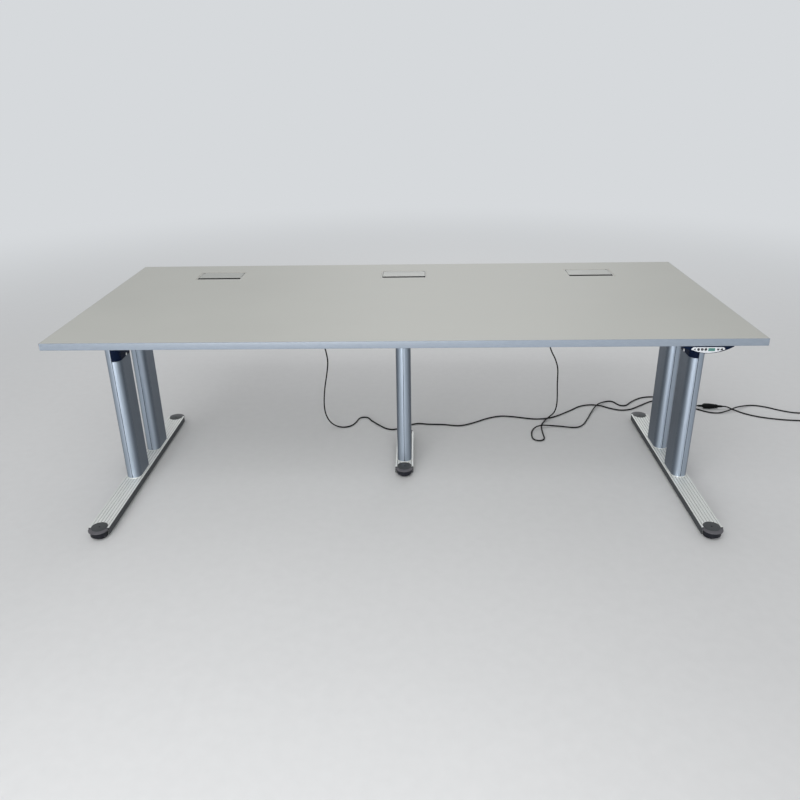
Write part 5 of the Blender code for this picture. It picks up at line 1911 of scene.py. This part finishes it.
RIGHT_ROUTE = [
    (0.556, 0.460, LEAD_EXIT_Z), (0.580, 0.461, 0.683), (0.598, 0.464, 0.664), (0.610, 0.468, 0.635),
    (0.622, 0.474, 0.585), (0.640, 0.483, 0.510), (0.660, 0.492, 0.430), (0.677, 0.498, 0.365),
    (0.692, 0.500, 0.322), (0.714, 0.500, 0.278), (0.728, 0.500, 0.232), (0.732, 0.500, 0.146),
    (0.736, 0.498, 0.076), (0.733, 0.490, 0.036), (0.722, 0.472, 0.017), (0.705, 0.448, 0.0115),
    (0.688, 0.426, 0.0105), (0.665, 0.396, 0.0060), (0.645, 0.360), (0.6365, 0.310), (0.6345, 0.250),
    (0.634, 0.2155), (0.6262, 0.1968), (0.6075, 0.189), (0.5888, 0.1968), (0.581, 0.2155),
    (0.581, 0.249), (0.589, 0.288, 0.0050), (0.609, 0.317, 0.0085), (0.638, 0.332, 0.0110),
    (0.670, 0.340, 0.0070), (0.718, 0.340), (0.768, 0.327), (0.806, 0.326), (0.837, 0.352),
    (0.872, 0.418), (0.908, 0.495, 0.0055), (0.936, 0.546, 0.0100), (0.958, 0.575, 0.0115),
    (0.988, 0.607, 0.0065), (1.0071, 0.6223), (1.022, 0.627), (1.035, 0.6235), (1.0452, 0.6128),
    (1.0578, 0.5847), (1.0661, 0.5752), (1.081, 0.5705), (1.094, 0.574), (1.1005, 0.5793),
    (1.132, 0.616), (1.180, 0.658), (1.222, 0.676), (1.268, 0.677), (1.322, 0.656),
    (1.362, 0.6215, 0.0050), (1.3891, 0.5884, 0.0085), (1.4137, 0.5569, 0.0115),
    (1.4233, 0.5489, 0.0121), (1.435, 0.5455, 0.0123),
]
EXTENSION_ROUTE = [
    (1.5636, 0.5354, 0.0123), (1.577, 0.5332, 0.0108), (1.592, 0.5265, 0.0060), (1.607, 0.513),
    (1.629, 0.481), (1.668, 0.447), (1.720, 0.420), (1.790, 0.399), (1.850, 0.3895), (1.885, 0.387),
]


def eased(share: float) -> float:
    """Return a share from 0 to 1 with soft ends."""
    held = min(max(share, 0.0), 1.0)
    return held * held * (3 - 2 * held)


class TurnSide(Enum):
    """Side of its entry on which a coil lies."""

    FAR = 1
    NEAR = -1


@dataclass(frozen=True)
class Coil:
    """Spare lead wound up beyond the view, with the tail that holds its plug."""

    entry: Pair
    outer: float
    turns: int
    side: TurnSide
    ties: tuple[float, ...]     # degrees round the coil from its far point
    pitch: float = 0.0068
    steps: int = 48         # points on each turn
    tail: float = 0.045
    tail_steps: int = 12
    tail_climb: float = 0.7     # share of the tail in which it rises to its plug
    plug_rise: float = 0.0188
    strap_width: float = 0.007
    strap: float = 0.00025

    @property
    def middle(self) -> Vector:
        """Middle of the coil on the floor."""
        return Vector((self.entry[0], self.entry[1] + self.side.value * self.outer, 0.0))

    def points(self) -> list[Vector]:
        """Return the path: in on the floor, up half way, out on the second layer, then the tail.

        Returns:
            Points from the middle of the top.
        """
        total = self.turns * self.steps
        points = [Vector((self.entry[0] - CORD, self.entry[1], FLOOR))]
        for i in range(total + 1):
            angle = self.side.value * (2 * pi * i / self.steps - pi / 2)
            radius = self.outer - self.pitch * min(i, total - i) / self.steps
            place = Vector((cos(angle), sin(angle), 0.0)) * radius
            place.z = FLOOR + self.pitch * eased((i - total / 2) / (self.steps / 2) + 0.5)
            points.append(self.middle + place)
        last = points[-1]
        for i in range(1, self.tail_steps + 1):
            share = i / self.tail_steps
            height = last.z + (self.plug_rise - last.z) * eased(share / self.tail_climb)
            points.append(Vector((last.x + self.tail * share, last.y, height)))
        return points

    def tie(self, turn: float) -> Mesh:
        """Return a strap round the bundle of turns.

        Args:
            turn: degrees round the coil from its far point.

        Returns:
            The strap's mesh, from the middle of the top.
        """
        edge = CORD / 2 + self.strap
        width = self.pitch * self.turns / 2 + 2 * edge
        height = self.pitch + 2 * edge
        reach, lift = self.outer + edge - width / 2, FLOOR - edge + height / 2
        section = rounded_plan(width, height, edge, 6)
        rings = []
        for x, inset in ((-1, 0.0), (1, 0.0), (1, self.strap), (-1, self.strap)):
            rings.append([(x * self.strap_width / 2, reach + u * (1 - 2 * inset / width),
                           lift + v * (1 - 2 * inset / height)) for u, v in section])
        place = Matrix.Translation(self.middle) @ Matrix.Rotation(radians(turn), 4, "Z")
        return moved(loft(rings, closed=True), place)


def smooth(route: Sequence[Point], per_span: int = 12) -> list[Vector]:
    """Return points of a smooth curve through the route's own points.

    Args:
        route: points, with a height where they aren't on the floor.
        per_span: points for each span.

    Returns:
        Points of the curve.
    """
    knots = [Vector((*point, FLOOR)[:3]) for point in route]
    knots = [2 * knots[0] - knots[1], *knots, 2 * knots[-1] - knots[-2]]
    result = []
    for a, b, c, d in zip(knots, knots[1:], knots[2:], knots[3:]):
        span = (c - b).length
        into = (c - a) * (span / (span + (b - a).length))
        out = (d - b) * (span / ((d - c).length + span))
        for t in (i / per_span for i in range(per_span)):
            result.append(b * (1 + 2 * t) * (1 - t) ** 2 + into * t * (1 - t) ** 2
                          + c * t * t * (3 - 2 * t) - out * t * t * (1 - t))
    result.append(knots[-2])
    return result


def evenly(points: Sequence[Vector], spacing: float) -> list[Vector]:
    """Return points at about equal spacing along a row of points.

    Args:
        points: points of a path.
        spacing: distance between the new points.

    Returns:
        The new points.
    """
    marks = np.cumsum([0.0] + [(b - a).length for a, b in zip(points, points[1:])])
    wanted = np.linspace(0.0, marks[-1], max(2, round(marks[-1] / spacing)))
    axes = [np.interp(wanted, marks, [p[i] for p in points]) for i in range(3)]
    return [Vector(p) for p in zip(*axes)]


def round_tube(points: Sequence[Vector], radius: float, sides: int = 12) -> Mesh:
    """Return a tube with filled ends along a path, carried along without twist.

    Args:
        points: path of the tube's middle.
        radius: radius of the tube.
        sides: points round it.

    Returns:
        The mesh.
    """
    ahead = [(b - a).normalized() for a, b in zip(points, points[1:])]
    heads = [ahead[0], *[(a + b).normalized() for a, b in zip(ahead, ahead[1:])], ahead[-1]]
    side = heads[0].orthogonal().normalized()
    rings = []
    for point, head in zip(points, heads):
        side = (side - head * side.dot(head)).normalized()
        other = head.cross(side)
        rings.append([point + radius * (side * cos(a) + other * sin(a))
                      for a in (2 * pi * i / sides for i in range(sides))])
    return loft(rings)


@dataclass
class Leads:
    """Both mains leads, the coupler, the extension and their coils, ties and plugs."""

    left_exit: Point = (-0.4397, 0.355, LEAD_EXIT_Z)
    right_exit: Point = (0.5403, 0.460, LEAD_EXIT_Z)
    coupler_start: Point = (1.441, 0.545, 0.0123)
    coupler_end_y: float = 0.536
    coupler_size: Triple = (0.115, 0.026, 0.024)    # length, width and height
    coupler_corner: float = 0.009
    coupler_ribs: Ribs = Ribs(5, 0.012, 0.030, 0.37, 0.018,     # shares of the section and the length
                              ((0.0, 0.0), (0.008, 0.016), (-0.05, 0.019), (-0.05, 0.028)))
    plug_ribs: Ribs = Ribs(6, 0.0025, 0.0037, 0.0045, 0.00016,
                           ((0.0, 0.0), (0.0, 0.0023), (-0.0007, 0.0026), (-0.0007, 0.0034)))
    pin_y: float = 0.0095           # each pin from the plug's middle
    spacing: float = 0.0035
    crease: float = radians(60)
    fall: Pair = (0.035, 0.650)      # heights between which a lead stretches
    left_coil: Coil = Coil((1.980, 0.472), 0.037, 2, TurnSide.FAR, (20.0,))
    extension_coil: Coil = Coil((1.920, 0.387), 0.0425, 5, TurnSide.NEAR, (-60.0, 150.0))

    def build(self) -> None:
        """Build the leads and what is on them."""
        start = Vector(self.coupler_start)
        length, sink = self.coupler_size[0], self.coupler_end_y - start.y
        ahead = Vector((sqrt(length ** 2 - sink ** 2), sink, 0.0)).normalized()
        left = self.wound([self.left_exit, *LEFT_ROUTE], self.left_coil)
        right = smooth([self.right_exit, *RIGHT_ROUTE, start - ahead * GAP])
        spare = self.wound([start + ahead * (length + GAP), *EXTENSION_ROUTE], self.extension_coil)
        left_plug = self.add_plug("left", left[-1])
        spare_plug = self.add_plug("extension", spare[-1])
        coupler = self.add_coupler(start, ahead)
        self.add_ties("left", self.left_coil)
        self.add_ties("extension", self.extension_coil)
        self.add_lead("left", left, ("lead_left", "coil_left"), True)
        self.add_lead("right", right, ("lead_right",), True)
        self.add_lead("extension", spare, ("lead_extension", "coil_extension"), False)

    @staticmethod
    def wound(route: Sequence[Point], coil: Coil) -> list[Vector]:
        """Return a smooth route that runs on into its coil."""
        before = (coil.entry[0] - CORD - GAP, coil.entry[1], FLOOR)
        return [*smooth([*route, before])[:-1], *coil.points()]

    def add_lead(self, name: str, route: Sequence[Vector], nodes: Sequence[str],
                 falls: bool) -> None:
        """Args:
            name: its place.
            route: points from the middle of the top.
            nodes: CAD solids that it stands for.
            falls: True where it hangs from the top and so stretches as the top goes up.
        """
        path = [Vector((x, y, max(z, FLOOR))) + SHIFT for x, y, z in evenly(route, self.spacing)]
        mesh = painted(round_tube(path, CORD / 2), PVC)
        mesh.shade_smooth()
        mesh.set_sharp_from_angle(angle=self.crease)
        lead = linked(f"mains_lead_{name}", mesh)
        if falls:
            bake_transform(lead)
        else:
            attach(lead, str(Body.BASE))
        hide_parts(*nodes)

    def add_plug(self, name: str, end: Vector) -> Piece:
        """Add a two-pin earthed plug on the end of a lead.

        Args:
            name: place of the lead.
            end: end of the lead, from the middle of the top.

        Returns:
            The plug.
        """
        # radius and distance from the lead's end
        body = [(0.0044, 0.0), *self.plug_ribs.profile(), (0.0056, 0.026), (0.0100, 0.0272),
                (0.0134, 0.0300), (0.0158, 0.0340), (0.0172, 0.0385), (0.0176, 0.0420), (0.0176, 0.0470),
                (0.0184, 0.0482), (0.0185, 0.0490), (0.0185, 0.0608), (0.0178, 0.0620)]
        pin = [(0.0021, 0.0600), (0.0024, 0.0604), (0.0024, 0.0792), (0.0018, 0.0804), (0.0008, 0.0809)]
        parts = [painted(along_x(turned(body, 40)), MOULDED_PVC)]
        parts += [shifted(painted(along_x(turned(pin, 20)), NICKEL), y=side * self.pin_y) for side in (-1, 1)]
        plug = shifted(joined(parts), *(end + SHIFT + Vector((GAP, 0.0, 0.0))))
        return add_piece(f"plug_body_{name}", plug, MOULDED_PVC, Body.BASE, f"plug_{name}")

    def add_coupler(self, start: Vector, ahead: Vector) -> Piece:
        """Add the in-line coupler: two ribbed reliefs, two halves and a collar.

        Args:
            start: its near end, from the middle of the top.
            ahead: its direction.

        Returns:
            The coupler.
        """
        # shares of the length and of the full section
        relief = [(0.0, 0.36), *((share, size) for size, share in self.coupler_ribs.profile())]
        halves = [(0.165, 0.47), (0.185, 0.62), (0.215, 0.84), (0.245, 0.96), (0.275, 1.0),
                  (0.485, 1.0), (0.492, 0.92), (0.508, 0.90), (0.515, 0.94), (0.66, 0.80),
                  (0.67, 0.72), (0.71, 0.70), (0.72, 0.76), (0.745, 0.74), (0.775, 0.68),
                  (0.80, 0.58), (0.835, 0.47)]
        length, width, height = self.coupler_size
        stations = [*relief, *halves, *((1 - share, size) for share, size in reversed(relief))]
        mesh = stacked([
            (rounded_plan(width * size, height * size, self.coupler_corner * size), share * length)
            for share, size in stations])
        turn = Matrix.Rotation(atan2(ahead.y, ahead.x), 4, "Z")
        mesh = moved(along_x(mesh), Matrix.Translation(start + SHIFT) @ turn)
        return add_piece("coupler_body", mesh, MOULDED_PVC, Body.BASE, "coupler")

    @staticmethod
    def add_ties(name: str, coil: Coil) -> None:
        """Add the straps that hold a coil."""
        straps = joined([painted(coil.tie(turn), STRAP) for turn in coil.ties])
        add_piece(f"coil_tie_{name}", moved(straps, Matrix.Translation(SHIFT)), STRAP, Body.BASE)


def main() -> None:
    """Build the studio, the camera and every sub-assembly on the frame."""
    logging.basicConfig(level=logging.INFO, format="%(name)s %(message)s", stream=sys.stdout)
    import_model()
    assemblies = [
        Studio(), Viewpoint(), Leads(), DeskTop(), *(CableFlap(place) for place in FLAP_X), Columns(),
        Drives(), Feet(), UnderFrame(), ControlBox("left", right_end=-0.455, y=0.39215),
        ControlBox("right", right_end=0.525, y=0.49715), Handset(),
    ]
    for assembly in assemblies:
        assembly.build()


if __name__ == "__main__":
    main()
